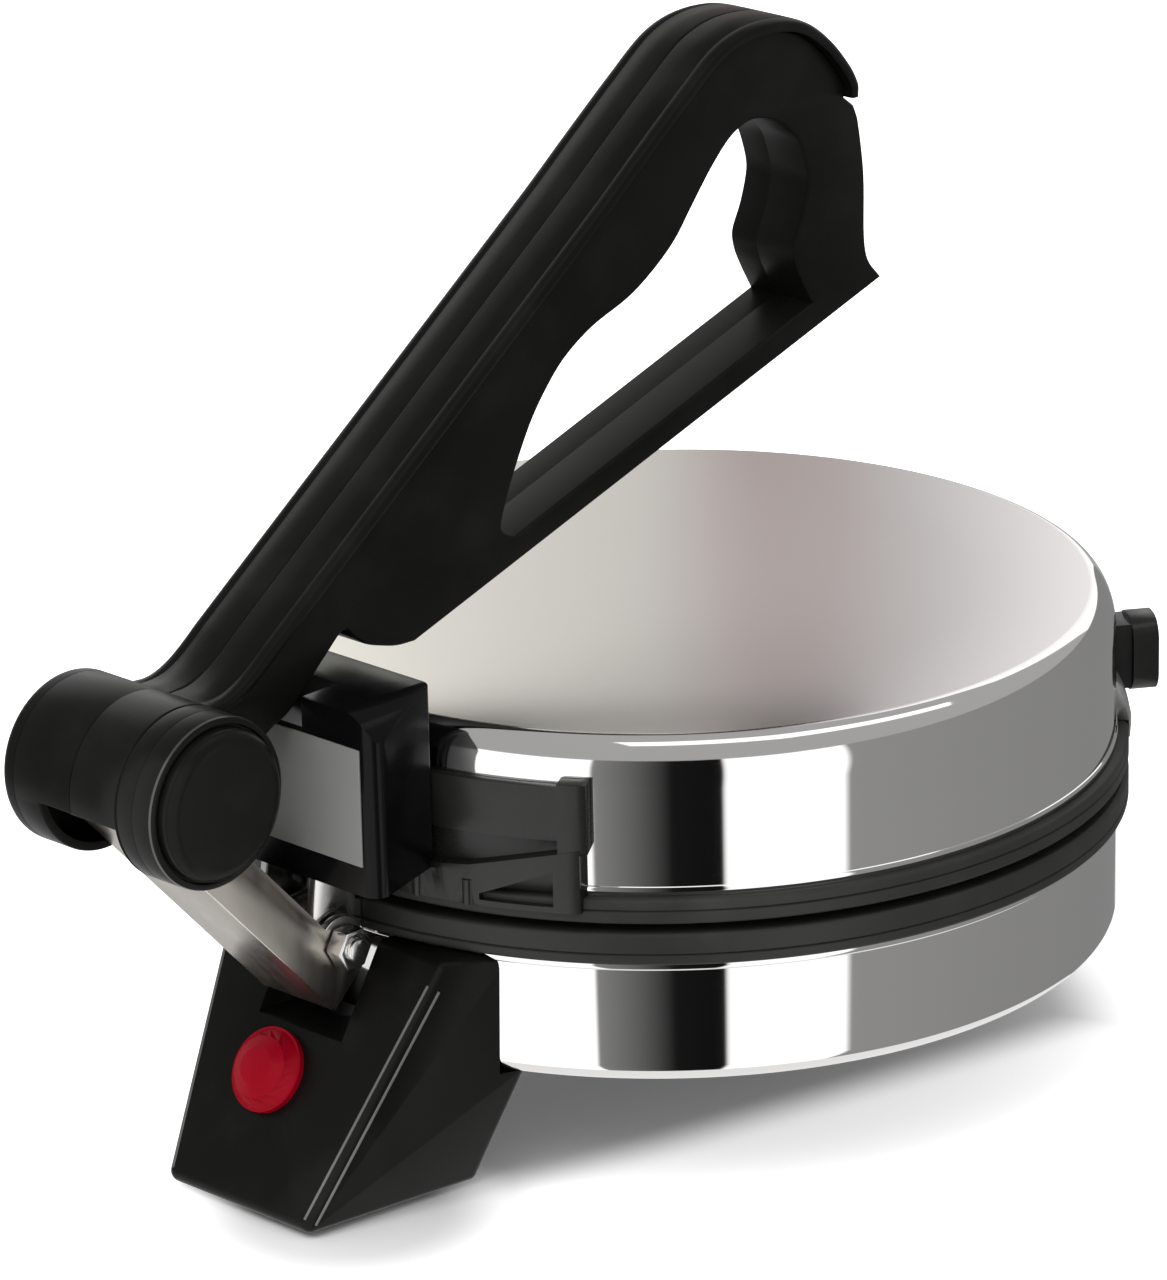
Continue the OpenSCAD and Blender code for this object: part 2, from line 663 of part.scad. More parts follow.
// Fender of the saddle, drawn on its unrolled face: tangent distance from its middle, and height
fender_a = 24;
fender_r = ring_r + 2.1;
function on_face(a, z) = [fender_r * sin(a - fender_a), z];
module fender_face(pts) {
  rotate([0, 0, 180 + fender_a]) translate([ring_r - 20, 0, 0]) rotate([90, 0, 90])
    linear_extrude(height = 40) polygon(pts);
}
module fender() {
  z0 = up_z1 - 3.4;
  difference() {
    intersection() {
      saddle_arc(0, saddle_a, lid_r + e, fender_r, z0, box_z0 + 10);
      for (s = [0, 1])
        mirror([0, s, 0]) fender_face([on_face(0, z0), on_face(saddle_a - 1.4, z0),
          on_face(saddle_a - 1.4, box_z0 + 9), on_face(saddle_a - 9, box_z0 + 5.6),
          on_face(saddle_a - 15, box_z0 + 2.6), on_face(0, box_z0 - 1.2)]);
    }
    translate([0, 0, z0 - 1]) cylinder(r = ring_r + e, h = up_z1 + e - z0 + 1);
    for (s = [0, 1])
      mirror([0, s, 0]) fender_face([on_face(saddle_a - 13.7, z0 + 1.5),
        on_face(saddle_a - 4.6, z0 + 1.5), on_face(saddle_a - 4.6, z0 + 11),
        on_face(saddle_a - 13.7, z0 + 3.2)]);
  }
}
module hinge_saddle() {
  g = lid_r + e;
  color("black") put() difference() {
    union() {
      saddle_arc(0, saddle_a - 4, g, g + 1.2, up_z1 + e, lid_z - 12.6);
      saddle_arc(0, saddle_a - 1, g, g + saddle_t, box_z0 + 10.3, lid_z - 11.7);
      saddle_arc(saddle_a - 4, saddle_a - 0.5, g, g + saddle_t + 2.6, box_z0 + 7.7, lid_z - 10);
      fender();
      for (a = [12.6, 19.3])
        for (s = [-1, 1])
          rotate([0, 0, 180 + s * a]) translate([fender_r - 0.6, 0, up_z1 - 3.4])
            cylinder(r = 1.5, h = box_z0 - up_z1 + 2);
    }
    translate([0, 0, box_z0]) linear_extrude(height = 60) box_plan(e);
    translate([-box_x1, -link_y - 1.6, up_z0]) cube([box_x1 - ring_r - 0.4, 2 * link_y + 3.2, 30]);
    lid_solid(e / 2);
    box_bolts(2 + run_c);
  }
}
module lid_ears() {
  x0 = -lid_r - 2.2;
  color("lightsteelblue") put() difference() {
    union() {
      translate([x0, -eye_y0 - ear_t, box_z0 + 2]) cube([2.1, 2 * (eye_y0 + ear_t), 22]);
      for (y = [-eye_y0 - ear_t, eye_y0])
        slab_y(y, y + ear_t) {
          translate([-pivot_x, pivot_z]) circle(r = eye_r);
          polygon([[-pivot_x - eye_r, pivot_z], [-pivot_x + eye_r, pivot_z],
            [-ring_r - 3, box_z0 - 1], [x0 + 1, box_z0 + 2], [x0 + 1, box_z0 + 24],
            [x0 - 9, box_z0 + 24], [-pivot_x - 4, box_z0 + 4]]);
        }
    }
    at_pivot() tube_y(pin_r, -20, 20);
    translate([x0 - 1, 0, box_z0 + 14]) rotate([0, 90, 0]) cylinder(r = 2, h = 4);
  }
}
knob_z = up_z1 + knob_up;
module knob_bolt(r) {
  rotate([0, 0, knob_a]) translate([lid_r - 8, 0, knob_z]) rotate([0, 90, 0]) cylinder(r = r, h = knob_d);
}
module knob_screw() {
  color("gray") put() {
    rotate([0, 0, knob_a]) translate([lid_r - shell_t - 1.4, 0, knob_z]) rotate([0, 90, 0])
      cylinder(r = 2, h = 11);
    rotate([0, 0, knob_a]) translate([lid_r - shell_t - 3.4, 0, knob_z]) rotate([0, 90, 0])
      cylinder(r = 3.6, h = 3);
  }
}
module lid_knob() {
  g = lid_r + e;
  n = knob_d - 7;
  color("black") put() rotate([0, 0, knob_a]) difference() {
    union() {
      translate([g - 2, -knob_w / 2 + 2, knob_z - knob_h / 2 + 1.5]) cube([n + 4, knob_w - 4, knob_h - 3]);
      translate([g + n, 0, knob_z]) rotate([90, 0, 90]) linear_extrude(height = 7)
        rounded(-knob_w / 2, knob_w / 2, -knob_h / 2, knob_h / 2, 6, 6);
    }
    rotate([0, 0, -knob_a]) translate([0, 0, up_z1]) cylinder(r = g, h = lid_h);
    translate([0, 0, knob_z]) rotate([0, 90, 0]) cylinder(r = 2, h = lid_r - shell_t + 9.6);
  }
}
module knob_bracket() {
  g = lid_r + e;
  r1 = ring_r + e;
  color("silver") put() rotate_extrude(angle = 7, start = knob_a - 11.5) polygon([[g, up_z1 + 11],
    [g + 1.8, up_z1 + 9.5], [r1, up_z1 + 6], [r1 + 0.8, up_z1 + 2], [r1 + 0.8, up_z1 - 1],
    [r1 + 0.5, up_z0 + 2], [r1, up_z0 + 2], [r1, up_z1 + e], [g, up_z1 + e]]);
}

// Link, drawn along the line of its pins from the hinge bolt
module link_side() {
  translate([0, 0]) circle(r = eye_r);
  translate([link_len, 0]) circle(r = eye_r);
  translate([-web_low, -web_d]) square([link_len + web_low + web_top, web_d]);
}
module link_arm() {
  color("gray") put() at_pivot() rotate([0, -link_a, 0]) difference() {
    union() {
      for (y = [-link_y, link_y - link_t])
        slab_y(y, y + link_t) mirror([0, 1]) link_side();
      translate([-web_low, -link_y, web_i]) cube([link_len + web_low + web_top, 2 * link_y, link_t]);
    }
    tube_y(pin_r, -20, 20);
    translate([link_len, 0, 0]) tube_y(axle_r + run_c, -20, 20);
  }
}

// Handle
module wedge(a0, a1, r) {
  m = (a0 + a1) / 2;
  polygon([[0, 0], r * [cos(a0), sin(a0)], 1.6 * r * [cos((a0 + m) / 2), sin((a0 + m) / 2)],
    1.6 * r * [cos(m), sin(m)], 1.6 * r * [cos((a1 + m) / 2), sin((a1 + m) / 2)],
    r * [cos(a1), sin(a1)]]);
}
module frame_2d() {
  difference() {
    polygon(concat(cover_in, front_pts, nose_pts));
    polygon(window_pts);
  }
}
barrel_in = barrel_r - barrel_t;
near_y = -barrel_y + cap_t;
screw_pts = [[58, 36.5], [100, 55], [150, 97], [243, 104]];
module handle_bolts(r, y0, y1) {
  for (p = screw_pts)
    translate([p[0], 0, p[1]]) tube_y(r, y0, y1);
}
module handle_half(y0, y1, f0, f1) {
  difference() {
    union() {
      slab_y(f0, f1) difference() {
        frame_2d();
        circle(r = barrel_r);
      }
      difference() {
        tube_y(barrel_r, y0, y1);
        tube_y(barrel_in, y0 - 1, y1 + 1);
      }
    }
    slab_y(-link_y - slot_c, link_y + slot_c) wedge(slot_a0, slot_a1, barrel_r + 2);
  }
}
module handle_near() {
  color("black") put() at_axle() difference() {
    handle_half(near_y, seam_y, -frame_y, seam_y);
    handle_bolts(1.5, -frame_y + 3, seam_y + 1);
  }
}
module handle_far() {
  y1 = barrel_y - end_t;
  color("black") put() at_axle() difference() {
    union() {
      handle_half(seam_y, y1, seam_y, frame_y);
      rotate([-90, 0, 0]) rotate_extrude() polygon(concat([[0, y1], [barrel_r, y1]],
        [for (a = [0:15:90]) [barrel_r - cap_edge + cap_edge * cos(a),
          barrel_y - cap_edge + cap_edge * sin(a)]], [[0, barrel_y]]));
    }
    tube_y(axle_r, y1 - 1, axle_y);
    handle_bolts(1.5, seam_y - 1, frame_y + 1);
    handle_bolts(3, frame_y - 2.5, frame_y + 1);
  }
}
module handle_screws() {
  color("gray") put() at_axle() {
    handle_bolts(1.5, -frame_y + 3, frame_y - 2);
    handle_bolts(3, frame_y - 2.5, frame_y - 0.5);
  }
}
module handle_cover() {
  color("black") put() at_axle() difference() {
    slab_y(-cover_y, cover_y) polygon(concat(back_pts, back_to_front(cover_in)));
    tube_y(barrel_r, -30, 30);
  }
}
module barrel_cap() {
  d = barrel_r - 2.6;
  color("black") put() at_axle() difference() {
    rotate([90, 0, 0]) rotate_extrude() polygon(concat([[0, -near_y], [barrel_r, -near_y],
      [barrel_r, barrel_y - 1.6], [barrel_r - 0.9, barrel_y - 0.8], [d + 0.7, barrel_y - 0.8],
      [d + 0.7, barrel_y - 1.6], [d, barrel_y - 1.6]],
      [for (a = [0:15:90]) [d - 4 + 4 * cos(a), barrel_y + dome_h * sin(a)]],
      [[0, barrel_y + dome_h]]));
    tube_y(axle_r, -axle_y, near_y + 1);
  }
}
module handle_axle() {
  color("lightsteelblue") put() at_axle() tube_y(axle_r, -axle_y, axle_y);
}
module axle_sleeves() {
  color("lightgray") put() at_axle() difference() {
    union() {
      tube_y(axle_r + 3, near_y, -link_y - side_c);
      tube_y(axle_r + 3, link_y + side_c, barrel_y - end_t);
    }
    tube_y(axle_r, -40, 40);
  }
}

lower_shell();
lower_ring();
lower_plate();
lower_heater();
lower_reflector();
bottom_cover();
cover_screws();
thermostat();
thermal_fuse();
lower_terminals();
rear_leg();
front_leg();
leg_screws();
rubber_feet();
indicator_lens();
neon_lamp();
base_bracket();
bracket_screw();
hinge_bolt();
hinge_nut();
upper_shell();
upper_ring();
upper_plate();
upper_heater();
upper_reflector();
upper_terminals();
hinge_box();
label_plate();
hinge_saddle();
lid_ears();
box_screws();
lid_knob();
knob_screw();
knob_bracket();
link_arm();
handle_axle();
axle_sleeves();
handle_near();
handle_far();
handle_cover();
barrel_cap();
handle_screws();
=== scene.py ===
import bpy
import bmesh
import json
from math import sin, cos, pi, radians, atan2, hypot
from mathutils import Vector, Matrix
from mathutils.bvhtree import BVHTree

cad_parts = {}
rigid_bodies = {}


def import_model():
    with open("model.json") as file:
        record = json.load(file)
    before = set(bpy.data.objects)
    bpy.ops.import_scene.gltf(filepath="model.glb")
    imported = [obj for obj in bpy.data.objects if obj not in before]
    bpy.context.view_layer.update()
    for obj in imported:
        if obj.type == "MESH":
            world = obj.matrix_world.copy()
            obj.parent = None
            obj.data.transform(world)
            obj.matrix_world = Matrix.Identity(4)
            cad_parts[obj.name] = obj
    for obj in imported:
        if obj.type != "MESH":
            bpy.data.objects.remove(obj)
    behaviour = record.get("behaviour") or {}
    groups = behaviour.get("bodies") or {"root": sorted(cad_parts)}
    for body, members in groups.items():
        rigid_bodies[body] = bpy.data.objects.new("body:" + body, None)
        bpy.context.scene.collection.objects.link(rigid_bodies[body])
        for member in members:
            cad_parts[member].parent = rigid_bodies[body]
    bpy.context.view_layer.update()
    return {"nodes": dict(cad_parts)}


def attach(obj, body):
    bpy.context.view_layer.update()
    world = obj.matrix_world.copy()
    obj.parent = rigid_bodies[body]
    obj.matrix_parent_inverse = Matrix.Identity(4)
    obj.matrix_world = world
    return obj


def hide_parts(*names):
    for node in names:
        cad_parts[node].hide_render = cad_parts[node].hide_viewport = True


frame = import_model()
MM = 0.001
AXIS = 43.896            # the round body's axis, ahead of the origin


# Shader maths
class Wire:
    """A socket that takes part in Python arithmetic."""

    def __init__(self, finish, socket):
        self.finish, self.socket = finish, socket

    def _do(self, op, a, b=None):
        return self.finish.node("Math", {"operation": op}, [a] if b is None else [a, b])

    def __add__(self, o):
        return self._do("ADD", self, o)

    def __radd__(self, o):
        return self._do("ADD", o, self)

    def __sub__(self, o):
        return self._do("SUBTRACT", self, o)

    def __rsub__(self, o):
        return self._do("SUBTRACT", o, self)

    def __mul__(self, o):
        return self._do("MULTIPLY", self, o)

    def __rmul__(self, o):
        return self._do("MULTIPLY", o, self)

    def __pow__(self, o):
        return self._do("POWER", self, o)

    def __lt__(self, o):
        return self._do("LESS_THAN", self, o)

    def abs(self):
        return self._do("ABSOLUTE", self)

    def max(self, o):
        return self._do("MAXIMUM", self, o)

    def atan2(self, o):
        return self._do("ARCTAN2", self, o)

    def step(self, lo, hi):
        """0 below lo, 1 above hi, with a soft rise between them."""
        return self.finish.node("Map Range", {"interpolation_type": "SMOOTHSTEP"},
                                {"Value": self, "From Min": lo, "From Max": hi}, "Result")


class Finish:
    """One material with a Principled shader, and the one method that adds any other node to it."""

    KINDS = {"Math": "ShaderNodeMath", "Map Range": "ShaderNodeMapRange", "Mix": "ShaderNodeMix",
             "Noise": "ShaderNodeTexNoise", "Voronoi": "ShaderNodeTexVoronoi", "Bump": "ShaderNodeBump",
             "Mapping": "ShaderNodeMapping", "Coord": "ShaderNodeTexCoord", "Ramp": "ShaderNodeValToRGB",
             "Split": "ShaderNodeSeparateXYZ", "Light Path": "ShaderNodeLightPath",
             "Emission": "ShaderNodeEmission", "Add Shader": "ShaderNodeAddShader"}

    def __init__(self, name, **fixed):
        self.mat = bpy.data.materials.new(name)
        self.mat.use_nodes = True
        self.tree = self.mat.node_tree
        self.bsdf = self.tree.nodes["Principled BSDF"]
        for key, value in fixed.items():
            self.bsdf.inputs[key.replace("_", " ")].default_value = value

    def node(self, kind, settings, values=None, out=0):
        """Settings go first, since they can change the sockets; values are numbers, colours or wires."""
        n = self.tree.nodes.new(self.KINDS[kind])
        for key, value in settings.items():
            if key == "stops":
                row = n.color_ramp.elements
                row[0].position, row[-1].position = value[0][0], value[-1][0]
                for pos, col in value[1:-1]:
                    row.new(pos)
                for el, (pos, col) in zip(row, value):
                    el.color = col
            else:
                setattr(n, key, value)
        items = values.items() if isinstance(values, dict) else enumerate(values or [])
        for key, value in items:
            if isinstance(value, Wire):
                self.tree.links.new(value.socket, n.inputs[key])
            else:
                n.inputs[key].default_value = value
        return Wire(self, n.outputs[out])

    def put(self, name, wire):
        self.tree.links.new(wire.socket, self.bsdf.inputs[name])

    def coord(self):
        return self.node("Coord", {}, {}, "Object")

    def axes(self):
        split = self.node("Split", {}, [self.coord()]).socket.node
        return [Wire(self, split.outputs[i]) for i in range(3)]

    def noise(self, scale, detail=3.0, stretch=(1, 1, 1), rough=0.5):
        v = self.node("Mapping", {}, {"Vector": self.coord(), "Scale": stretch})
        return self.node("Noise", {}, {"Vector": v, "Scale": scale, "Detail": detail,
                                       "Roughness": rough}, "Fac")

    def blend(self, mask, a, b):
        return self.node("Mix", {"data_type": "RGBA"}, {0: mask, 6: a, 7: b}, 2)

    def bump(self, height, strength, distance):
        self.put("Normal", self.node("Bump", {}, {"Height": height, "Strength": strength,
                                                  "Distance": distance}))

    def show(self, shader):
        """This shader is the whole surface."""
        self.tree.links.new(shader.socket, self.tree.nodes["Material Output"].inputs["Surface"])


def moulded(name, tone, rough, grain=900.0, depth=0.00004, strength=0.35, shine=0.11):
    """Black moulding: a fine grain, slightly paler where it is worn."""
    f = Finish(name, IOR=1.47, Specular_IOR_Level=shine)
    cloud = f.noise(38.0, 4.0)
    fine = f.noise(grain, 2.0)
    wear = cloud.step(0.45, 0.75)
    f.put("Base Color", f.blend(wear, (*tone, 1), (*[t * 1.45 + 0.002 for t in tone], 1)))
    f.put("Roughness", (rough - 0.05) + 0.12 * cloud + 0.04 * fine)
    f.bump(fine + 0.6 * cloud, strength, depth)
    return f.mat


def steel(name, tone, rough, spread, grain, stretch, depth, strength=0.2, metal=1.0):
    """Brushed or plated metal."""
    f = Finish(name, Metallic=metal)
    brush = f.noise(grain, 2.0, stretch)
    cloud = f.noise(22.0, 4.0)
    low = tuple(t * 0.9 for t in tone)
    f.put("Base Color", f.blend(brush * 0.5 + cloud * 0.5, (*low, 1), (*tone, 1)))
    f.put("Roughness", rough + spread * brush + 0.05 * cloud)
    f.bump(brush, strength, depth)
    return f.mat


FLAT_EDGE, FLAT_RISE = (0.1112, 0.1135), (0.1252, 0.126)      # where the lid's flat top ends, in m


def shell_steel(name, satin):
    """Polished wall; where satin is set, the flat top is finely ground instead."""
    f = Finish(name, Metallic=1.0)
    x, y, z = f.axes()
    x = x - AXIS * MM
    r = (x * x + y * y) ** 0.5
    smear = f.noise(9.0, 3.0, (1, 1, 0.25))
    fine = f.noise(420.0, 2.0, (1, 1, 0.02))
    flat = (1 - r.step(*FLAT_EDGE)) * z.step(*FLAT_RISE) if satin else 0 * r
    ground = f.noise(260.0, 3.0, (1, 1, 1))
    wall = f.blend(smear, (0.80, 0.79, 0.78, 1), (0.88, 0.87, 0.86, 1))
    top = f.blend(f.noise(5.0, 2.0), (0.74, 0.72, 0.70, 1), (0.80, 0.765, 0.765, 1))
    f.put("Base Color", f.blend(flat, wall, top))
    f.put("Roughness", 0.045 + 0.02 * smear + flat * (0.21 + 0.05 * ground))
    f.bump(fine * (1 - flat) * 0.25 + ground * flat, 0.08, 0.00002)
    return f.mat


BLACK = moulded("black_moulding", (0.0060, 0.0060, 0.0052), 0.30)
GRIP = moulded("grip_moulding", (0.0050, 0.0050, 0.0044), 0.32)
BOX = moulded("gloss_moulding", (0.0030, 0.0030, 0.0034), 0.20, 500.0, 0.00002, 0.15, 0.13)
RING = moulded("ring_moulding", (0.024, 0.024, 0.022), 0.46, 700.0, 0.00005, 0.4, 0.3)
SADDLE = moulded("saddle_moulding", (0.0085, 0.0085, 0.0076), 0.25, 900.0, 0.00002, 0.18, 0.42)
# pale grey for bevel faces, rims and strips: a painted highlight line along edges
EDGE_HIGHLIGHT = moulded("worn_edge", (0.034, 0.034, 0.031), 0.22, shine=0.7)
# pale grey for the leg's corner beads: painted highlight lines
BEAD_HIGHLIGHT = moulded("worn_bead", (0.11, 0.11, 0.10), 0.3, shine=0.6)
RUBBER = moulded("foot_rubber", (0.015, 0.015, 0.015), 0.65, 1200.0, 0.00008, 0.6)
SHELL_TOP = shell_steel("polished_lid", True)
SHELL_LOW = shell_steel("polished_body", False)
LINK = steel("link_steel", (0.44, 0.41, 0.37), 0.22, 0.16, 260.0, (1, 1, 0.25), 0.00004, 0.4)
PLATED = steel("plated_steel", (0.80, 0.79, 0.77), 0.12, 0.08, 500.0, (1, 1, 1), 0.00001, 0.2)
SHEET = steel("sheet_steel", (0.62, 0.62, 0.61), 0.30, 0.12, 260.0, (1, 8, 1), 0.00002)
LABEL = steel("label_metal", (0.25, 0.25, 0.24), 0.55, 0.10, 700.0, (1, 0.05, 1), 0.00001, 0.2, 0.25)


def special():
    """Finishes that one or two pieces have."""
    made = {}
    f = Finish("non_stick", IOR=1.5)
    speck = f.node("Voronoi", {"feature": "F1"}, {"Vector": f.coord(), "Scale": 900.0}, "Distance")
    f.put("Base Color", f.blend((speck < 0.16), (0.018, 0.017, 0.016, 1), (0.06, 0.058, 0.055, 1)))
    f.put("Roughness", 0.36 + 0.1 * f.noise(60.0))
    f.bump(f.noise(500.0), 0.3, 0.00004)
    made["plate"] = f.mat
    f = Finish("glazed_ceramic", Coat_Weight=0.3)
    f.put("Base Color", f.blend(f.noise(60.0), (0.74, 0.71, 0.64, 1), (0.82, 0.79, 0.73, 1)))
    f.put("Roughness", 0.32 + 0.2 * f.noise(90.0))
    f.bump(f.noise(300.0), 0.2, 0.00005)
    made["ceramic"] = f.mat
    f = Finish("red_lens", IOR=1.5, Specular_IOR_Level=0.08)
    glow = f.noise(60.0, 2.0)
    f.put("Base Color", f.blend(glow, (0.26, 0.000, 0.006, 1), (0.40, 0.001, 0.016, 1)))
    f.put("Roughness", 0.28 + 0.1 * glow)
    f.bump(glow, 0.1, 0.0001)
    made["lens"] = f.mat
    f = Finish("lamp_glass", IOR=1.5)
    f.put("Base Color", f.blend(f.noise(80.0), (0.75, 0.30, 0.10, 1), (0.85, 0.42, 0.18, 1)))
    f.put("Roughness", 0.1 + 0.1 * f.noise(80.0))
    made["lamp"] = f.mat
    f = Finish("white_nylon", IOR=1.5)
    f.put("Base Color", f.blend(f.noise(50.0), (0.62, 0.62, 0.60, 1), (0.72, 0.72, 0.70, 1)))
    f.put("Roughness", 0.45 + 0.1 * f.noise(70.0))
    made["nylon"] = f.mat
    f = Finish("heater_sheath", Metallic=1.0)
    f.put("Base Color", f.blend(f.noise(90.0), (0.22, 0.20, 0.18, 1), (0.36, 0.31, 0.27, 1)))
    f.put("Roughness", 0.4 + 0.15 * f.noise(120.0))
    made["heater"] = f.mat
    return made


OTHER = special()


# Mesh helpers
def placed(name, data):
    ob = bpy.data.objects.new(name, data)
    bpy.context.scene.collection.objects.link(ob)
    return ob


def new_piece(name, mesh, material, angle):
    ob = placed(name, mesh)
    mesh.materials.clear()
    mesh.materials.append(material)
    smooth(mesh, angle)
    return ob


def smooth(mesh, angle):
    mesh.polygons.foreach_set("use_smooth", [True] * len(mesh.polygons))
    mesh.set_sharp_from_angle(angle=radians(angle))
    mesh.update()


def flatten(ob):
    """Apply the modifiers and leave one plain mesh."""
    dg = bpy.context.evaluated_depsgraph_get()
    dg.update()
    mesh = bpy.data.meshes.new_from_object(ob.evaluated_get(dg), depsgraph=dg)
    ob.modifiers.clear()
    if ob.type != "MESH":
        name = ob.name
        bpy.data.objects.remove(ob)
        return placed(name, mesh)
    ob.data = mesh
    return ob


def made_mesh(name, bm):
    mesh = bpy.data.meshes.new(name)
    bm.to_mesh(mesh)
    bm.free()
    return mesh


def outward(mesh):
    bm = bmesh.new()
    bm.from_mesh(mesh)
    bmesh.ops.remove_doubles(bm, verts=bm.verts, dist=1e-6)
    bmesh.ops.recalc_face_normals(bm, faces=bm.faces)
    bm.to_mesh(mesh)
    bm.free()


class Grower:
    """One Geometry Nodes tree with named inputs; it ends in plain, finished geometry."""

    def __init__(self, name, inputs):
        self.tree = bpy.data.node_groups.new(name, "GeometryNodeTree")
        face = self.tree.interface
        face.new_socket("Geometry", in_out="INPUT", socket_type="NodeSocketGeometry")
        self.ids = {key: face.new_socket(key, in_out="INPUT", socket_type="NodeSocket" + kind).identifier
                    for key, kind in inputs.items()}
        face.new_socket("Geometry", in_out="OUTPUT", socket_type="NodeSocketGeometry")
        self.given = self.tree.nodes.new("NodeGroupInput")

    def take(self, key):
        return self.given.outputs[key]

    def node(self, kind, values, out=0, **settings):
        n = self.tree.nodes.new(kind)
        for key, value in settings.items():
            setattr(n, key, value)
        for key, value in values.items():
            if isinstance(value, bpy.types.NodeSocket):
                self.tree.links.new(value, n.inputs[key])
            else:
                n.inputs[key].default_value = value
        return n.outputs[out]

    def end(self, geometry):
        real = self.node("GeometryNodeRealizeInstances", {"Geometry": geometry})
        done = self.node("GeometryNodeSetMaterial", {"Geometry": real, "Material": self.take("Finish")})
        self.tree.links.new(done, self.tree.nodes.new("NodeGroupOutput").inputs[0])

    def grow(self, name, mesh, material, angle=30.0, **values):
        ob = placed(name, mesh)
        mod = ob.modifiers.new(name, "NODES")
        mod.node_group = self.tree
        for key, value in {"Finish": material, **values}.items():
            mod[self.ids[key]] = value
        ob = flatten(ob)
        outward(ob.data)
        smooth(ob.data, angle)
        return ob


def turning_tree():
    """A closed outline of edges carried round an upright circle."""
    g = Grower("turned form", {"Radius": "Float", "Steps": "Int", "Finish": "Material"})
    path = g.node("GeometryNodeCurvePrimitiveCircle", {"Resolution": g.take("Steps"),
                                                       "Radius": g.take("Radius")})
    outline = g.node("GeometryNodeMeshToCurve", {"Mesh": g.take("Geometry")})
    skin = g.node("GeometryNodeCurveToMesh", {"Curve": path, "Profile Curve": outline})
    g.end(g.node("GeometryNodeMergeByDistance", {"Geometry": skin, "Distance": 1e-6}))
    return g


def fastener_tree():
    """Copies of one fastener on points, each turned to the point's own direction."""
    g = Grower("fastener row", {"Fastener": "Object", "Size": "Float", "Finish": "Material"})
    form = g.node("GeometryNodeObjectInfo", {"Object": g.take("Fastener")}, "Geometry")
    aim = g.node("GeometryNodeInputNamedAttribute", {"Name": "aim"}, 0, data_type="FLOAT_VECTOR")
    turn = g.node("FunctionNodeAlignRotationToVector", {"Vector": aim}, 0, axis="Z")
    g.end(g.node("GeometryNodeInstanceOnPoints", {"Points": g.take("Geometry"), "Instance": form,
                                                  "Rotation": turn, "Scale": g.take("Size")}))
    return g


def bead_tree():
    """A thin round bead along every line of edges."""
    g = Grower("bead on a line", {"Bead": "Float", "Finish": "Material"})
    line = g.node("GeometryNodeMeshToCurve", {"Mesh": g.take("Geometry")})
    rim = g.node("GeometryNodeCurvePrimitiveCircle", {"Resolution": 8, "Radius": g.take("Bead")})
    g.end(g.node("GeometryNodeCurveToMesh", {"Curve": line, "Profile Curve": rim, "Fill Caps": True}))
    return g


TURNING, FASTENERS, BEADS = turning_tree(), fastener_tree(), bead_tree()


def turned(name, profile, material, steps, axis="Z", centre=(AXIS, 0.0)):
    """Closed outline (radius, height) in mm turned into a ring or a disc."""
    big = max(r for r, h in profile)
    n = len(profile)
    mesh = bpy.data.meshes.new(name)
    mesh.from_pydata([((r - big) * MM, -h * MM, 0) for r, h in profile],
                     [(i, (i + 1) % n) for i in range(n)], [])
    ob = TURNING.grow(name, mesh, material, Radius=big * MM, Steps=steps)
    place = Matrix.Translation((centre[0] * MM, 0, centre[1] * MM))
    if axis == "Y":
        place = place @ Matrix.Rotation(-pi / 2, 4, "X")
    ob.data.transform(place)
    return ob


def islands(node):
    """Lowest and highest corner of each solid in a CAD node."""
    bm = bmesh.new()
    bm.from_mesh(frame["nodes"][node].data)
    bmesh.ops.remove_doubles(bm, verts=bm.verts, dist=2e-6)
    left, out = set(bm.verts), []
    while left:
        todo, group = [left.pop()], []
        while todo:
            v = todo.pop()
            group.append(v.co.copy())
            for e in v.link_edges:
                w = e.other_vert(v)
                if w in left:
                    left.discard(w)
                    todo.append(w)
        out.append((Vector([min(c[i] for c in group) for i in range(3)]),
                    Vector([max(c[i] for c in group) for i in range(3)])))
    bm.free()
    return sorted(out, key=lambda q: tuple(q[0]))


def fastener(profile, cross):
    """Turned fastener facing up, the top of its head at the origin; cross is the cut's length and width."""
    ob = turned("fastener", profile, PLATED, 40, centre=(0.0, 0.0))
    if cross:
        bm = bmesh.new()
        for turn in (0, 1):
            tall = 1.0 + turn * 0.002                # no two faces of the cross share a plane
            bar = Matrix.Diagonal((cross[0] * MM, cross[1] * MM, tall * MM, 1))
            bmesh.ops.create_cube(bm, size=1.0, matrix=Matrix.Rotation(turn * pi / 2, 4, "Z") @ bar)
        tool = placed("cross", made_mesh("cross", bm))
        mod = ob.modifiers.new("cross", "BOOLEAN")
        mod.operation, mod.solver, mod.use_self, mod.object = "DIFFERENCE", "EXACT", True, tool
        ob = flatten(ob)
        bpy.data.objects.remove(tool)
    return ob


def fastener_row(name, node, body, profile, cross, aim, finish):
    """One fastener for each solid of a CAD node, seated where that solid is."""
    spots = []
    for lo, hi in islands(node):
        mid = (lo + hi) / 2
        for i in range(3):
            if aim[i]:
                mid[i] = hi[i] if aim[i] > 0 else lo[i]
        spots.append(mid)
    mesh = bpy.data.meshes.new(name)
    mesh.from_pydata(spots, [], [])
    mesh.attributes.new("aim", "FLOAT_VECTOR", "POINT")
    for item in mesh.attributes["aim"].data:
        item.vector = aim
    form = fastener(profile, cross)
    ob = FASTENERS.grow(name, mesh, finish, 35.0, Fastener=form, Size=1.0)
    bpy.data.objects.remove(form)
    finish_piece(ob, body, node)


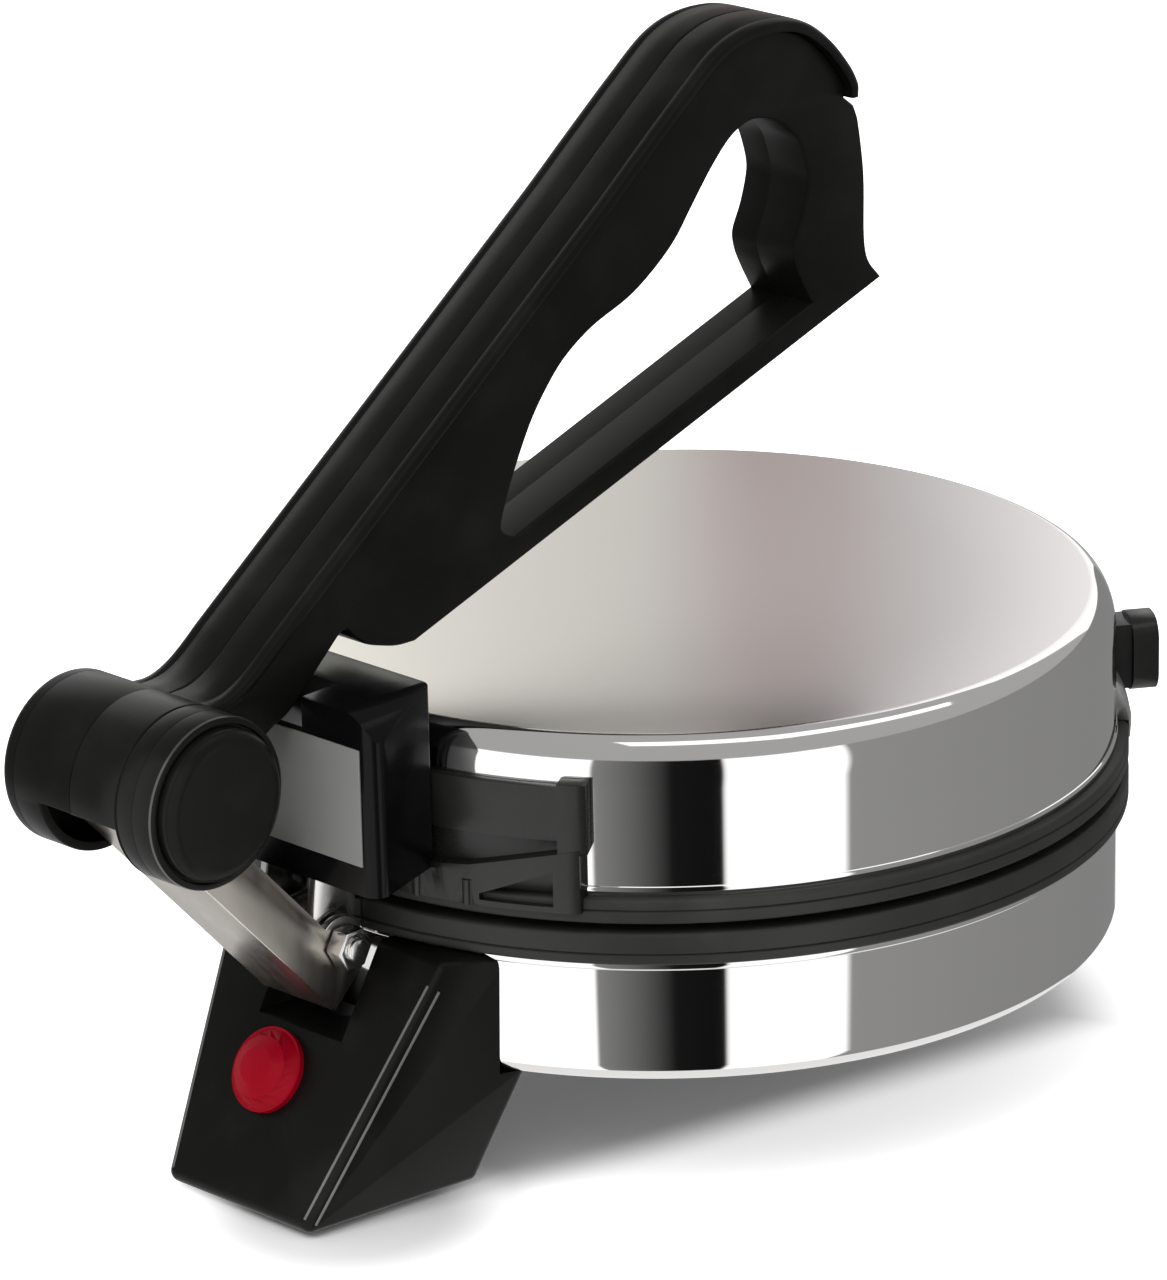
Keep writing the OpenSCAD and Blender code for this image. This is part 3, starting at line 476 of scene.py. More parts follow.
def dressed(name, node, material, bevel, edge=None):
    """A merged copy of a CAD node with its edges broken; where an edge finish is given the bevel faces take
    it, which for the pale moulding is a painted highlight line.
    """
    mesh = frame["nodes"][node].data.copy()
    bm = bmesh.new()
    bm.from_mesh(mesh)
    bmesh.ops.remove_doubles(bm, verts=bm.verts, dist=2e-6)
    bmesh.ops.dissolve_limit(bm, angle_limit=radians(1.0), verts=bm.verts, edges=bm.edges)
    bm.to_mesh(mesh)
    bm.free()
    ob = placed(name, mesh)
    mesh.materials.clear()
    mesh.materials.append(material)
    if edge:
        mesh.materials.append(edge)
    mod = ob.modifiers.new("edge", "BEVEL")
    mod.width, mod.segments, mod.limit_method = bevel * MM, 2, "ANGLE"
    mod.angle_limit, mod.use_clamp_overlap = radians(30.0), True
    mod.material = 1 if edge else 0
    ob = flatten(ob)
    smooth(ob.data, 38.0)
    return ob


def finish_piece(ob, body, node):
    """The piece moves with its body and stands for this CAD node."""
    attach(ob, body)
    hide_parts(node)


def arc(cx, cy, r, a0, a1, n):
    """n + 1 points round a centre, from a0 to a1 degrees."""
    return [(cx + r * cos(radians(a0 + (a1 - a0) * i / n)),
             cy + r * sin(radians(a0 + (a1 - a0) * i / n))) for i in range(n + 1)]


def curve_through(points, closed, steps, sharp):
    """Catmull-Rom line through the points; the ones in sharp stay corners."""
    out, n = [], len(points)
    last = n if closed else n - 1
    for i in range(last):
        p1, p2 = Vector(points[i]), Vector(points[(i + 1) % n])
        p0 = Vector(points[(i - 1) % n]) if (closed or i > 0) else p1
        p3 = Vector(points[(i + 2) % n]) if (closed or i + 2 < n) else p2
        if i in sharp:
            p0 = p1 - (p2 - p1)
        if (i + 1) % n in sharp:
            p3 = p2 + (p2 - p1)
        m1 = (p2 - p0) * 0.5
        m2 = (p3 - p1) * 0.5
        chord = (p2 - p1).length
        for m in (m1, m2):
            if m.length > chord:
                m *= chord / m.length
        for k in range(steps):
            t = k / steps
            out.append((2 * t ** 3 - 3 * t ** 2 + 1) * p1 + (t ** 3 - 2 * t ** 2 + t) * m1
                       + (-2 * t ** 3 + 3 * t ** 2) * p2 + (t ** 3 - t ** 2) * m2)
    if not closed:
        out.append(Vector(points[-1]))
    return out


# Sizes of the part, in mm
BODY_Z, RING_Z0, RING_Z1, UP_Z0, UP_Z1, LID_Z = 34.0, 67.6, 76.3, 78.7, 85.4, 126.3
SHELL_R, LID_R, RING_R, PLATE_R, WALL = 118.9, 118.6, 122.0, 108.0, 1.0
PLATE_LOW, PLATE_UP = (76.6, 70.0), (78.4, 83.0)         # the face and the back of each baking plate
AXLE = (-143.896, 126.011)
BARREL_R, BARREL_IN, BARREL_NEAR, BARREL_FAR = 22.0, 19.5, -20.35, 23.2
SLOT_HALF, SLOT_FROM, SLOT_TO = 13.8, 190.0, 332.0       # the link's slot: half width, and angles
SEAM_Y, SEAM_DEEP = -14.5, 0.45                          # the fine seam round the barrel
GRIP_HALF, COVER_T = 11.5, 3.5
PARTING, GRIP_EDGE, TUBE_EDGE = 2.0, 0.8, 0.5            # where the halves meet, and their broken edges
LEG_R, LEG_HALF, FOOT_UP, LEG_TOP = 3, (25.8, 39.5), 0.8, RING_Z0 - 0.6
LEG_LEAN, LEG_TOE = 0.62, 165                            # the leg's face leans back by this share
LENS_R, LENS_Y, LENS_Z, LENS_HOLE, LENS_SHANK = 11.25, 4.5, 32.4, 8.0, 7
BEAD_R, BEAD_SUNK = 0.42, 0.12

BACK = [(10.3, 19.4), (16.7, 19.9), (22, 21.9), (27.2, 25.2), (32.5, 29.2), (92, 71.5),
        (151.5, 114), (167.5, 126), (184.5, 138.5), (196.5, 146.5), (208, 149.8), (221, 149.5),
        (231, 146.5), (240, 140), (247.5, 131.5), (250.5, 126), (250.5, 122.5)]
FRONT = [(250.8, 119.5), (252.5, 115), (254.6, 100), (254.6, 83), (256, 76), (261, 70)]
NOSE = [(84, 15.4), (78, 15.8), (72.5, 17.2), (67, 19.2), (63, 22), (59.5, 25),
        (53, 20), (46, 13.8), (39.5, 8.6), (33.5, 6), (18, -3)]
WINDOW = [(211, 123.9), (218, 122.8), (223.5, 120.2), (229, 115), (232, 107.5),
          (232.8, 102), (230.4, 93.7), (227, 86.5), (227.5, 81.5), (230, 76), (233.9, 69.1),
          (121.1, 33.7), (116, 36.8), (118, 44), (121.8, 52.3), (127.2, 62), (132.5, 69),
          (139.8, 76.2), (150.2, 82.2), (164, 86.9), (173.4, 92), (181.7, 98.3), (188.3, 105.9),
          (196, 114.6), (203.5, 121.2)]


def inset(path, d):
    """Open path moved sideways by d, to the right of its direction."""
    out = []
    for i, p in enumerate(path):
        a, b = Vector(path[max(i - 1, 0)]), Vector(path[min(i + 1, len(path) - 1)])
        t = (b - a).normalized()
        out.append(Vector(p) + d * Vector((t.y, -t.x)))
    return out


# Round body
def body_parts():
    """Shells, plate rings and baking plates, all turned round the body's axis."""
    roll = [(0.6 * sin(radians(a)), -1.3 + 1.1 * cos(radians(a))) for a in range(0, 181, 30)]
    corner, mouth = 5, 87.9
    at_corner = (SHELL_R - corner, BODY_Z + corner)
    low = ([(SHELL_R, RING_Z0)] + [(SHELL_R + r, RING_Z0 + z) for r, z in roll]
           + arc(*at_corner, corner, 0, -90, 10) + [(mouth, BODY_Z), (mouth, BODY_Z + WALL)]
           + arc(*at_corner, corner - WALL, -90, 0, 10) + [(SHELL_R - WALL, RING_Z0)])
    finish_piece(turned("lower_shell_skin", low, SHELL_LOW, 384), "base", "lower_shell")

    def crown(r, z, n=14, wide=7, high=12.5):
        """Quarter of an oval from the flat top down to the wall."""
        turns = [radians(90 - 90 * i / n) for i in range(n + 1)]
        return [(r - wide + wide * cos(a), z - high + high * sin(a)) for a in turns]
    up = [(0, LID_Z - WALL), (0, LID_Z), (40, LID_Z), (80, LID_Z)] + crown(LID_R, LID_Z)
    up += [(LID_R + r, UP_Z1 + 2.6 + z) for r, z in roll]
    up += [(LID_R, UP_Z1), (LID_R - WALL, UP_Z1)] + crown(LID_R - WALL, LID_Z - WALL)[::-1]
    finish_piece(turned("upper_shell_skin", up, SHELL_TOP, 384), "lid", "upper_shell")

    def ring(z0, z1, seat=2.4, r_in=100, soft=1.2):
        """Ring with softened edges and a shallow groove in its rim."""
        s = 1 if z1 > z0 else -1
        rim = arc(RING_R - soft, z0 + s * soft, soft, -90 * s, 0, 5)
        rim += [(RING_R, z0 + s * 2.6), (RING_R - 0.5, z0 + s * 3.0), (RING_R, z0 + s * 3.4)]
        rim += arc(RING_R - soft, z1 - s * soft, soft, 0, 90 * s, 5)
        return rim + [(PLATE_R, z1), (PLATE_R, z0 + s * seat), (r_in, z0 + s * seat), (r_in, z0)]

    def plate(z_face, z_back):
        """Baking plate with a rounded rim."""
        s, rim = 1 if z_face > z_back else -1, PLATE_R - 0.3
        return ([(0, z_back), (rim, z_back)] + arc(rim - 1, z_face - s, 1, 0, 90 * s, 5)
                + [(60, z_face), (0, z_face)])
    for name, profile, material, steps, body, node in (
            ("lower_ring_moulding", ring(RING_Z0, RING_Z1), RING, 288, "base", "lower_ring"),
            ("upper_ring_moulding", ring(UP_Z1, UP_Z0), RING, 288, "lid", "upper_ring"),
            ("lower_baking_plate", plate(*PLATE_LOW), OTHER["plate"], 256, "base", "lower_plate"),
            ("upper_baking_plate", plate(*PLATE_UP), OTHER["plate"], 256, "lid", "upper_plate")):
        finish_piece(turned(name, profile, material, steps), body, node)


# Handle
def barrel_shell(bm, y0, y1):
    """Tube round the axle line from y0 to y1, open along the slot for the link."""
    ys = [y0, -SLOT_HALF, y1] if y0 < -SLOT_HALF else [y0, SLOT_HALF, y1]
    if y0 < SEAM_Y:
        ys = [y0, *(SEAM_Y + d for d in (-0.4, -0.2, 0.2, 0.4))] + ys[1:]
    a0, a1, n, n_open = SLOT_FROM, SLOT_TO, 128, 48
    angles = ([a1 + (a0 + 360 - a1) * i / n for i in range(n)]
              + [a0 + (a1 - a0) * i / n_open for i in range(n_open)])
    m = len(angles)

    def open_cell(i, j):
        mid = (ys[j] + ys[j + 1]) / 2
        return i >= n and abs(mid) < SLOT_HALF
    grid = {}

    def at(i, j, r):
        key = (i % m, j, r)
        if key not in grid:
            a = radians(angles[i % m])
            if r == BARREL_R and abs(ys[j] - SEAM_Y) < 0.3:
                r -= SEAM_DEEP
            spot = (AXLE[0] + r * cos(a), ys[j], AXLE[1] + r * sin(a))
            grid[key] = bm.verts.new([v * MM for v in spot])
        return grid[key]
    for j in range(len(ys) - 1):
        for i in range(m):
            if open_cell(i, j):
                continue
            for r in (BARREL_R, BARREL_IN):
                bm.faces.new((at(i, j, r), at(i + 1, j, r), at(i + 1, j + 1, r), at(i, j + 1, r)))
            for di in (0, 1):
                k = (i - 1) % m if di == 0 else (i + 1) % m
                if open_cell(k, j):
                    q = i + di
                    bm.faces.new((at(q, j, BARREL_R), at(q, j + 1, BARREL_R),
                                  at(q, j + 1, BARREL_IN), at(q, j, BARREL_IN)))
            for dj in (0, 1):
                k = j - 1 if dj == 0 else j + 1
                if k < 0 or k >= len(ys) - 1 or open_cell(i, k):
                    q = j + dj
                    bm.faces.new((at(i, q, BARREL_R), at(i + 1, q, BARREL_R),
                                  at(i + 1, q, BARREL_IN), at(i, q, BARREL_IN)))


def frame_outline():
    """Side outline of the handle outside the barrel, and its window, as dense points."""
    top = curve_through(inset(BACK, COVER_T), False, 6, (0, 5, 16))
    front = curve_through(FRONT, False, 5, (0, 5))
    nose = curve_through(NOSE, False, 5, (0, 10))
    sunk = 0.8                                       # how far the frame reaches into the barrel
    cut = BARREL_R - sunk
    keep = [Vector(p) for p in top + front + nose if Vector(p).length > cut]
    first = keep[0].normalized() * cut
    last = keep[-1].normalized() * cut
    a1, a0 = atan2(first.y, first.x), atan2(last.y, last.x)
    bridge = [Vector((cut * cos(a0 + (a1 - a0) * i / 8), cut * sin(a0 + (a1 - a0) * i / 8)))
              for i in range(9)]
    window = curve_through(WINDOW, True, 5, (10, 11))
    return keep + bridge, window


def slab(name, loops, y0, y1):
    """Flat outline with holes in the side plane, given thickness and rounded edges."""
    cu = bpy.data.curves.new(name, "CURVE")
    cu.dimensions = "2D"
    cu.fill_mode = "BOTH"
    for loop in loops:
        sp = cu.splines.new("POLY")
        sp.points.add(len(loop) - 1)
        for pt, p in zip(sp.points, loop):
            pt.co = (p[0] * MM, p[1] * MM, 0, 1)
        sp.use_cyclic_u = True
    cu.extrude = ((y1 - y0) / 2 - GRIP_EDGE) * MM
    cu.bevel_depth = GRIP_EDGE * MM
    cu.offset = -GRIP_EDGE * MM
    cu.bevel_resolution = 3
    ob = flatten(placed(name, cu))
    ob.data.transform(Matrix.Translation((AXLE[0] * MM, (y0 + y1) / 2 * MM, AXLE[1] * MM))
                      @ Matrix.Rotation(pi / 2, 4, "X"))
    outward(ob.data)
    return ob


def join_mesh(name, meshes, material):
    """Several closed bodies as one piece."""
    bm = bmesh.new()
    for me in meshes:
        bm.from_mesh(me)
    return new_piece(name, made_mesh(name, bm), material, 32.0)


def tube_mesh(y0, y1):
    """A length of the barrel with its edges broken."""
    bm = bmesh.new()
    barrel_shell(bm, y0, y1)
    bmesh.ops.recalc_face_normals(bm, faces=bm.faces)
    ob = placed("tube", made_mesh("tube", bm))
    mod = ob.modifiers.new("edge", "BEVEL")
    mod.width, mod.segments = TUBE_EDGE * MM, 3
    mod.limit_method, mod.angle_limit = "ANGLE", radians(40)
    ob = flatten(ob)
    mesh = ob.data
    bpy.data.objects.remove(ob)
    return mesh


def handle_parts():
    """Two halves that meet inside the barrel, the cap on its near end, and the cover along the back."""
    outline, window = frame_outline()
    near = slab("near", [outline, window], -GRIP_HALF, PARTING + GRIP_EDGE)
    far = slab("far", [outline, window], PARTING - GRIP_EDGE, GRIP_HALF)
    near_tube = tube_mesh(BARREL_NEAR, PARTING + TUBE_EDGE)
    near_ob = join_mesh("handle_near_half", [near.data, near_tube], GRIP)
    end = [(0, 22.5), (21.5, 22.5), (22, 23.0)] + arc(19.0, 25.0, 3.0, 0, 90, 8) + [(0, 28.0)]
    cap = turned("far_end", end, GRIP, 160, "Y", centre=AXLE)
    far_tube = tube_mesh(PARTING - TUBE_EDGE, BARREL_FAR)
    far_ob = join_mesh("handle_far_half", [far.data, far_tube, cap.data], GRIP)
    for ob in (near, far, cap):
        bpy.data.objects.remove(ob)
    finish_piece(near_ob, "handle", "handle_near")
    finish_piece(far_ob, "handle", "handle_far")
    end_cap()
    handle_cover()


def end_cap():
    """Cap with a raised disc inside its rim, the rim's outer corner carrying a painted highlight ring."""
    rim = [(21.9, 0), (22, 0.1), (22, 5.95), (21.75, 6.5), (21.1, 6.85), (20.3, 6.85), (20.1, 6.55),
           (20.0, 6.05), (19.5, 6.05), (19.4, 6.35)]
    disc_r, disc_z, corner, rise = 15.4, 28.0, 4.0, 3.0
    line = ([(0, BARREL_NEAR)] + [(r, BARREL_NEAR - z) for r, z in rim]
            + [(r, -z) for r, z in arc(disc_r, disc_z, corner, 0, 20, 2)]
            + [(disc_r + corner * cos(a * pi / 20), -disc_z - rise * sin(a * pi / 20))
               for a in range(3, 11)]
            + [(0, -disc_z - rise)])
    ob = turned("barrel_end_cap", line, BLACK, 192, "Y", centre=AXLE)
    ob.data.materials.append(EDGE_HIGHLIGHT)
    # painted highlight: a pale ring on the rim's outer corner
    highlight_from, highlight_to, highlight_r = -27.0, -26.3, 21.0
    for face in ob.data.polygons:
        x, y, z = face.center / MM
        if highlight_from < y < highlight_to and hypot(x - AXLE[0], z - AXLE[1]) > highlight_r:
            face.material_index = 1
    finish_piece(ob, "handle", "barrel_cap")


def handle_cover():
    """Top cover swept along the back of the handle, ridged lengthwise."""
    path = curve_through(BACK, False, 8, (0, 5, 16))
    normals = []
    for i in range(len(path)):
        t = (path[min(i + 1, len(path) - 1)] - path[max(i - 1, 0)]).normalized()
        normals.append(Vector((t.y, -t.x)))
    half = [(0.0, 0.55), (0.3, 0.1), (0.7, 0.0), (5.0, 0.0), (10.2, 0.05), (10.6, 0.4), (11.1, 0.4),
            (11.5, 0.1), (12.9, 0.25), (13.7, 0.6), (14.15, 1.1), (14.3, 1.8), (14.3, 3.0),
            (14.0, 3.42), (11.0, COVER_T)]           # across from the middle, and down from the back
    sunk = 0.9
    ring = half + [(-y, d) for y, d in half[::-1] if y > 0]
    bm = bmesh.new()
    rows = []
    for p, n in zip(path, normals):
        thin = 1.0                                   # the cover thins out where it meets the barrel
        while (p + n * COVER_T * thin).length < BARREL_R - sunk and thin > 0.1:
            thin -= 0.02
        rows.append([bm.verts.new(((AXLE[0] + p.x + n.x * d * thin) * MM, y * MM,
                                   (AXLE[1] + p.y + n.y * d * thin) * MM)) for y, d in ring])
    m = len(ring)
    pairs = [(ring[i], ring[(i + 1) % m]) for i in range(m)]
    shoulder, spread, deep = 13.9, 0.2, 1.0          # where the painted highlight strip runs: at the shoulder, high up
    highlit_strip = [i for i, (p, q) in enumerate(pairs)
            if abs(abs(p[0] + q[0]) / 2 - shoulder) < spread and (p[1] + q[1]) / 2 < deep]
    for a, b in zip(rows, rows[1:]):
        for i in range(m):
            face = bm.faces.new((a[i], a[(i + 1) % m], b[(i + 1) % m], b[i]))
            face.material_index = 1 if i in highlit_strip else 0
    for row in (rows[0], rows[-1]):
        bm.faces.new(row)
    bmesh.ops.recalc_face_normals(bm, faces=bm.faces)
    ob = new_piece("handle_top_cover", made_mesh("handle_top_cover", bm), GRIP, 50.0)
    ob.data.materials.append(EDGE_HIGHLIGHT)
    finish_piece(ob, "handle", "handle_cover")


# Leg, lens and hinge
def lens_piece():
    """Dome of flat facets on a round flange, set square to the leg's face."""
    r, fine, coarse = LENS_R, 48, 16
    flange = [(0.0, r), (1.6, r), (1.6, r - 0.6)]
    dome = [(2.6, 0.93 * r - 0.5), (4.4, 0.74 * r), (5.9, 0.45 * r), (6.5, 0.16 * r)]
    bm = bmesh.new()

    def circle(z, q, n, turn=0.0):
        spots = [2 * pi * i / n + turn for i in range(n)]
        return [bm.verts.new((q * cos(a), q * sin(a), z)) for a in spots]

    def band(a, b):
        n = len(a)
        for i in range(n):
            bm.faces.new((a[i], a[(i + 1) % n], b[(i + 1) % n], b[i]))
    rows = [circle(z, q, fine) for z, q in flange]
    rows += [circle(z, q, coarse, (k + 1) % 2 * pi / coarse) for k, (z, q) in enumerate(dome)]
    band(rows[0], rows[1])
    band(rows[1], rows[2])
    a, b = rows[2:4]
    for i in range(coarse):
        for k in range(3):
            bm.faces.new((a[(3 * i + k + 1) % fine], a[(3 * i + k + 2) % fine], b[i]))
        bm.faces.new((a[(3 * i + 4) % fine], b[(i + 1) % coarse], b[i]))
    for a, b in zip(rows[3:], rows[4:]):
        for i in range(coarse):
            bm.faces.new((a[i], a[(i + 1) % coarse], b[i]))
            bm.faces.new((a[(i + 1) % coarse], b[(i + 1) % coarse], b[i]))
    bm.faces.new(rows[-1])
    bm.faces.new(rows[0][::-1])
    back, front = circle(-LENS_SHANK, LENS_HOLE, fine), circle(0.1, LENS_HOLE, fine)
    band(front, back)
    bm.faces.new(back)
    bmesh.ops.recalc_face_normals(bm, faces=bm.faces)
    mesh = made_mesh("red_lens", bm)
    face = (AXIS - LEG_TOE + LEG_LEAN * LENS_Z, LENS_Y, LENS_Z)
    mesh.transform(Matrix.Translation([v * MM for v in face])
                   @ Matrix.Rotation(-atan2(1, LEG_LEAN), 4, "Y") @ Matrix.Scale(MM, 4))
    ob = new_piece("red_lens", mesh, OTHER["lens"], 12.0)
    finish_piece(ob, "base", "indicator_lens")


def leg_beads():
    """Two fine raised lines down each front corner of the rear leg, coloured pale as painted highlight
    lines.
    """
    r, (half0, half1) = LEG_R, LEG_HALF
    bm = bmesh.new()
    bm.from_mesh(frame["nodes"]["rear_leg"].data)
    skin = BVHTree.FromBMesh(bm)
    bm.free()
    front = Vector((-1, 0, LEG_LEAN)).normalized()
    verts, edges, steps = [], [], 24
    share, reach = 0.93, 2.5             # how much of the corner they run down; how far a ray looks, in r
    most, less = 3, 0.8                  # one line leans to the leg's face, the other to its cheek
    for side in (-1, 1):
        ends = [Vector((AXIS - LEG_TOE + LEG_LEAN * z + r / -front.x,
                        side * (half0 + (half1 - half0) * z / LEG_TOP - r), z))
                for z in (FOOT_UP + r, LEG_TOP - r)]
        run = (ends[1] - ends[0]).normalized()
        cheek = Vector((0.12, side, 0))
        cheek = (cheek - run * cheek.dot(run)).normalized()
        brow = (front - run * front.dot(run)).normalized()
        for out in ((most * brow + less * cheek).normalized(), (less * brow + most * cheek).normalized()):
            line = []
            for k in range(steps + 1):
                start = ends[0].lerp(ends[1], share * k / steps) * MM
                hit = skin.ray_cast(start, out, reach * r * MM)[0]
                line.append((hit if hit else start + out * r * MM) - out * BEAD_SUNK * MM)
            edges += [(len(verts) + k, len(verts) + k + 1) for k in range(steps)]
            verts += line
    mesh = bpy.data.meshes.new("leg_corner_beads")
    mesh.from_pydata(verts, edges, [])
    ob = BEADS.grow("leg_corner_beads", mesh, BEAD_HIGHLIGHT, 60.0, Bead=BEAD_R * MM)
    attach(ob, "base")


def edged_parts():
    """Pieces that keep the frame's own shape, with their edges broken by so many mm."""
    # the last column is the finish of the bevel faces; the pale moulding there paints highlight lines along
    # the edges
    for name, node, body, mat, bevel, edge in (
            ("rear_leg_moulding", "rear_leg", "base", BLACK, 0.3, None),
            ("front_leg_moulding", "front_leg", "base", BLACK, 0.5, None),
            ("hinge_box_moulding", "hinge_box", "lid", BOX, 0.5, EDGE_HIGHLIGHT),
            ("label_plate_blank", "label_plate", "lid", LABEL, 0.15, None),
            ("saddle_moulding", "hinge_saddle", "lid", SADDLE, 0.35, EDGE_HIGHLIGHT),
            ("lid_ear_plates", "lid_ears", "lid", PLATED, 0.3, None),
            ("lid_knob_moulding", "lid_knob", "lid", SADDLE, 0.9, EDGE_HIGHLIGHT),
            ("knob_side_tab", "knob_bracket", "lid", SHEET, 0.4, None),
            ("link_channel", "link_arm", "link", LINK, 0.45, PLATED),
            ("base_hinge_lugs", "base_bracket", "base", PLATED, 0.3, None),
            ("hinge_bolt_head", "hinge_bolt", "base", PLATED, 0.3, None),
            ("hinge_bolt_nut", "hinge_nut", "base", PLATED, 0.5, None)):
        finish_piece(dressed(name, node, mat, bevel, edge), body, node)


def plain_nodes():
    """Inner pieces shown as the frame has them."""
    for mat, nodes in ((OTHER["heater"], ("lower_heater", "upper_heater")),
                       (OTHER["ceramic"], ("thermostat", "thermal_fuse", "lower_terminals",
                                           "upper_terminals")),
                       (OTHER["lamp"], ("neon_lamp",)), (OTHER["nylon"], ("axle_sleeves",)),
                       (SHEET, ("lower_reflector", "upper_reflector", "bottom_cover")),
                       (PLATED, ("leg_screws", "bracket_screw", "box_screws", "knob_screw",
                                 "handle_axle"))):
        for node in nodes:
            ob = frame["nodes"][node]
            ob.data.materials.clear()
            ob.data.materials.append(mat)


def fastener_parts():
    """Rows of screws and feet, each sized from its own CAD node."""
    def screw(r, head, shank, length):
        return ([(0, 0)] + arc(r - 0.5, -0.5, 0.5, 90, 0, 4) + [(r, -head), (shank, -head),
                (shank, 0.6 - length), (shank - 0.6, -length), (0, -length)])
    lo, hi = islands("cover_screws")[0]
    fastener_row("cover_screw_row", "cover_screws", "base", screw(2.2, 1.6, 1.5, (hi.z - lo.z) / MM),
                 (2.6, 0.6), (0, 0, -1), PLATED)
    lo, hi = islands("handle_screws")[0]
    fastener_row("handle_screw_row", "handle_screws", "handle",
                 screw(3.0, 2.0, 1.5, (hi.y - lo.y) / MM), (3.6, 0.8), (0, 1, 0), PLATED)
    lo, hi = islands("rubber_feet")[0]
    r, tall = (hi.x - lo.x) / 2 / MM, (hi.z - lo.z) / MM
    foot = ([(0, -0.5), (r - 2.4, -0.5), (r - 2.0, 0)] + arc(r - 0.7, -0.7, 0.7, 90, 0, 5)
            + [(r, -tall), (0, -tall)])
    fastener_row("rubber_foot_row", "rubber_feet", "base", foot, None, (0, 0, -1), RUBBER)


body_parts()
fastener_parts()
handle_parts()
lens_piece()
edged_parts()
leg_beads()
plain_nodes()


# Stage, light and camera
AZIMUTH, ELEVATION, ROLL = -45.5, 19.908, -1.327      # the camera's angles round the part, in degrees
CAMERA_SPOT = (-1.214664, -1.20565, 0.74209)
FOCAL_PX, PICTURE_PX, SENSOR = 7000, 1167, 36.0
FLOOR_HALF, FLOOR_Z = 6, -0.0005
# how much camera-only glow is painted on the floor: under the part, clear of it, and far out; its shape
# paints the shadow's outline
FLOOR_LIFT, CLEAR_LIFT, FAR_LIFT = 0.08, 0.55, 0.35
# where it is lifted, in m: far out, beside the part, round its body, and round the leg's foot
FAR, BESIDE, AROUND, FOOT_SHADE = (0.19, 0.42), (0.043, 0.067), (0.10, 0.125), (0.022, 0.05)
WIDENS, LEG_FOOT = 0.22, (-0.10, -0.022)
WORLD_LIGHT, WORLD_SHINE, WORLD_SEEN = 0.78, 0.42, 1.0
# the light of the panels: (degrees round the body, level) and (m across the view, level or colour)
WALL_PANELS = [(181, 1.35), (209.6, 1.35), (209.9, 0.24), (217, 0.13), (224, 0.009), (233.4, 0.005),
               (233.6, 1.35), (256.2, 1.35), (256.5, 0.30), (290, 0.27), (330, 0.25), (358, 0.24)]
TOP_PANELS = [(-0.16, 1.4), (-0.12, (1.10, 1.10, 0.98)), (-0.05, (0.82, 0.82, 0.78)),
              (0.0, (0.72, 0.72, 0.68)), (0.03, (0.47, 0.39, 0.39)), (0.06, (0.50, 0.45, 0.44)),
              (0.09, 0.66), (0.13, 0.95), (0.16, 1.2)]
STREAK = [(-0.19, -0.10), (-0.29, -0.21), (-0.04, -0.40), (0.41, -0.46), (0.38, -0.29), (0.02, -0.23)]


def stage_mesh(name, verts, faces, material):
    """A piece of the stage, not of the part."""
    mesh = bpy.data.meshes.new(name)
    mesh.from_pydata(verts, [], faces)
    mesh.materials.append(material)
    ob = placed(name, mesh)
    return ob


def first_look(f):
    """1 for what the camera sees mirrored, 0 for light that would reach the floor by way of steel."""
    return f.node("Light Path", {}, {}, "Diffuse Depth") < 0.5


def emitter(name, level, colour=lambda f: (1, 1, 1, 1)):
    """Plain light, or light whose colour a function works out in the material."""
    f = Finish(name)
    f.tree.nodes.remove(f.bsdf)
    f.show(f.node("Emission", {}, {"Color": colour(f), "Strength": first_look(f) * level}))
    return f.mat


def ramp_emitter(name, place, stops, top=1.6):
    """Light along one measure of the place, given as (place, level or colour) stops."""
    lo, hi = stops[0][0], stops[-1][0]

    def colour(f):
        along = (place(f) - lo) * (1.0 / (hi - lo))
        tints = [(p, c if isinstance(c, tuple) else (c,) * 3) for p, c in stops]
        cols = [((p - lo) / (hi - lo), (*[v / top for v in tint], 1)) for p, tint in tints]
        return f.node("Ramp", {"stops": cols}, {"Fac": along}, "Color")
    return emitter(name, top, colour)


def corners(x0, y0, x1, y1, z):
    """A level rectangle."""
    return [(x0, y0, z), (x1, y0, z), (x1, y1, z), (x0, y1, z)]


def stage_floor():
    """Pale floor with its real shadow, plus a camera-only glow held back under the part and round the leg's
    foot that paints the shadow's outline; further out the camera sees it white.
    """
    f = Finish("pale_floor", Specular_IOR_Level=0.1)
    f.put("Base Color", f.blend(f.noise(3.0), (0.93, 0.93, 0.93, 1), (0.95, 0.95, 0.95, 1)))
    f.put("Roughness", 0.9 + 0.05 * f.noise(8.0))
    seen = f.node("Light Path", {}, {}, "Is Camera Ray")
    x, y, z = f.axes()
    far = ((x * x + y * y) ** 0.5).step(*FAR)
    beside = y.abs() - WIDENS * x
    around = ((x - AXIS * MM) ** 2 + y * y) ** 0.5
    clear = beside.step(*BESIDE).max(around.step(*AROUND))
    leg = ((x - LEG_FOOT[0]) ** 2 + (y - LEG_FOOT[1]) ** 2) ** 0.5
    # painted shade: the glow is held back under the part and round the leg's foot
    level = leg.step(*FOOT_SHADE) * (FLOOR_LIFT + CLEAR_LIFT * clear) + FAR_LIFT * far
    lift = f.node("Emission", {}, {"Color": (1, 1, 1, 1), "Strength": seen * level})
    f.show(f.node("Add Shader", {}, [Wire(f, f.bsdf.outputs[0]), lift]))
    ob = stage_mesh("floor", corners(-FLOOR_HALF, -FLOOR_HALF, FLOOR_HALF, FLOOR_HALF, FLOOR_Z),
                    [(0, 1, 2, 3)], f.mat)
    ob.visible_glossy = False


def card(name, verts, faces, material):
    """A stage piece that only shiny surfaces see."""
    ob = stage_mesh(name, verts, faces, material)
    ob.visible_camera = ob.visible_diffuse = ob.visible_shadow = ob.visible_transmission = False


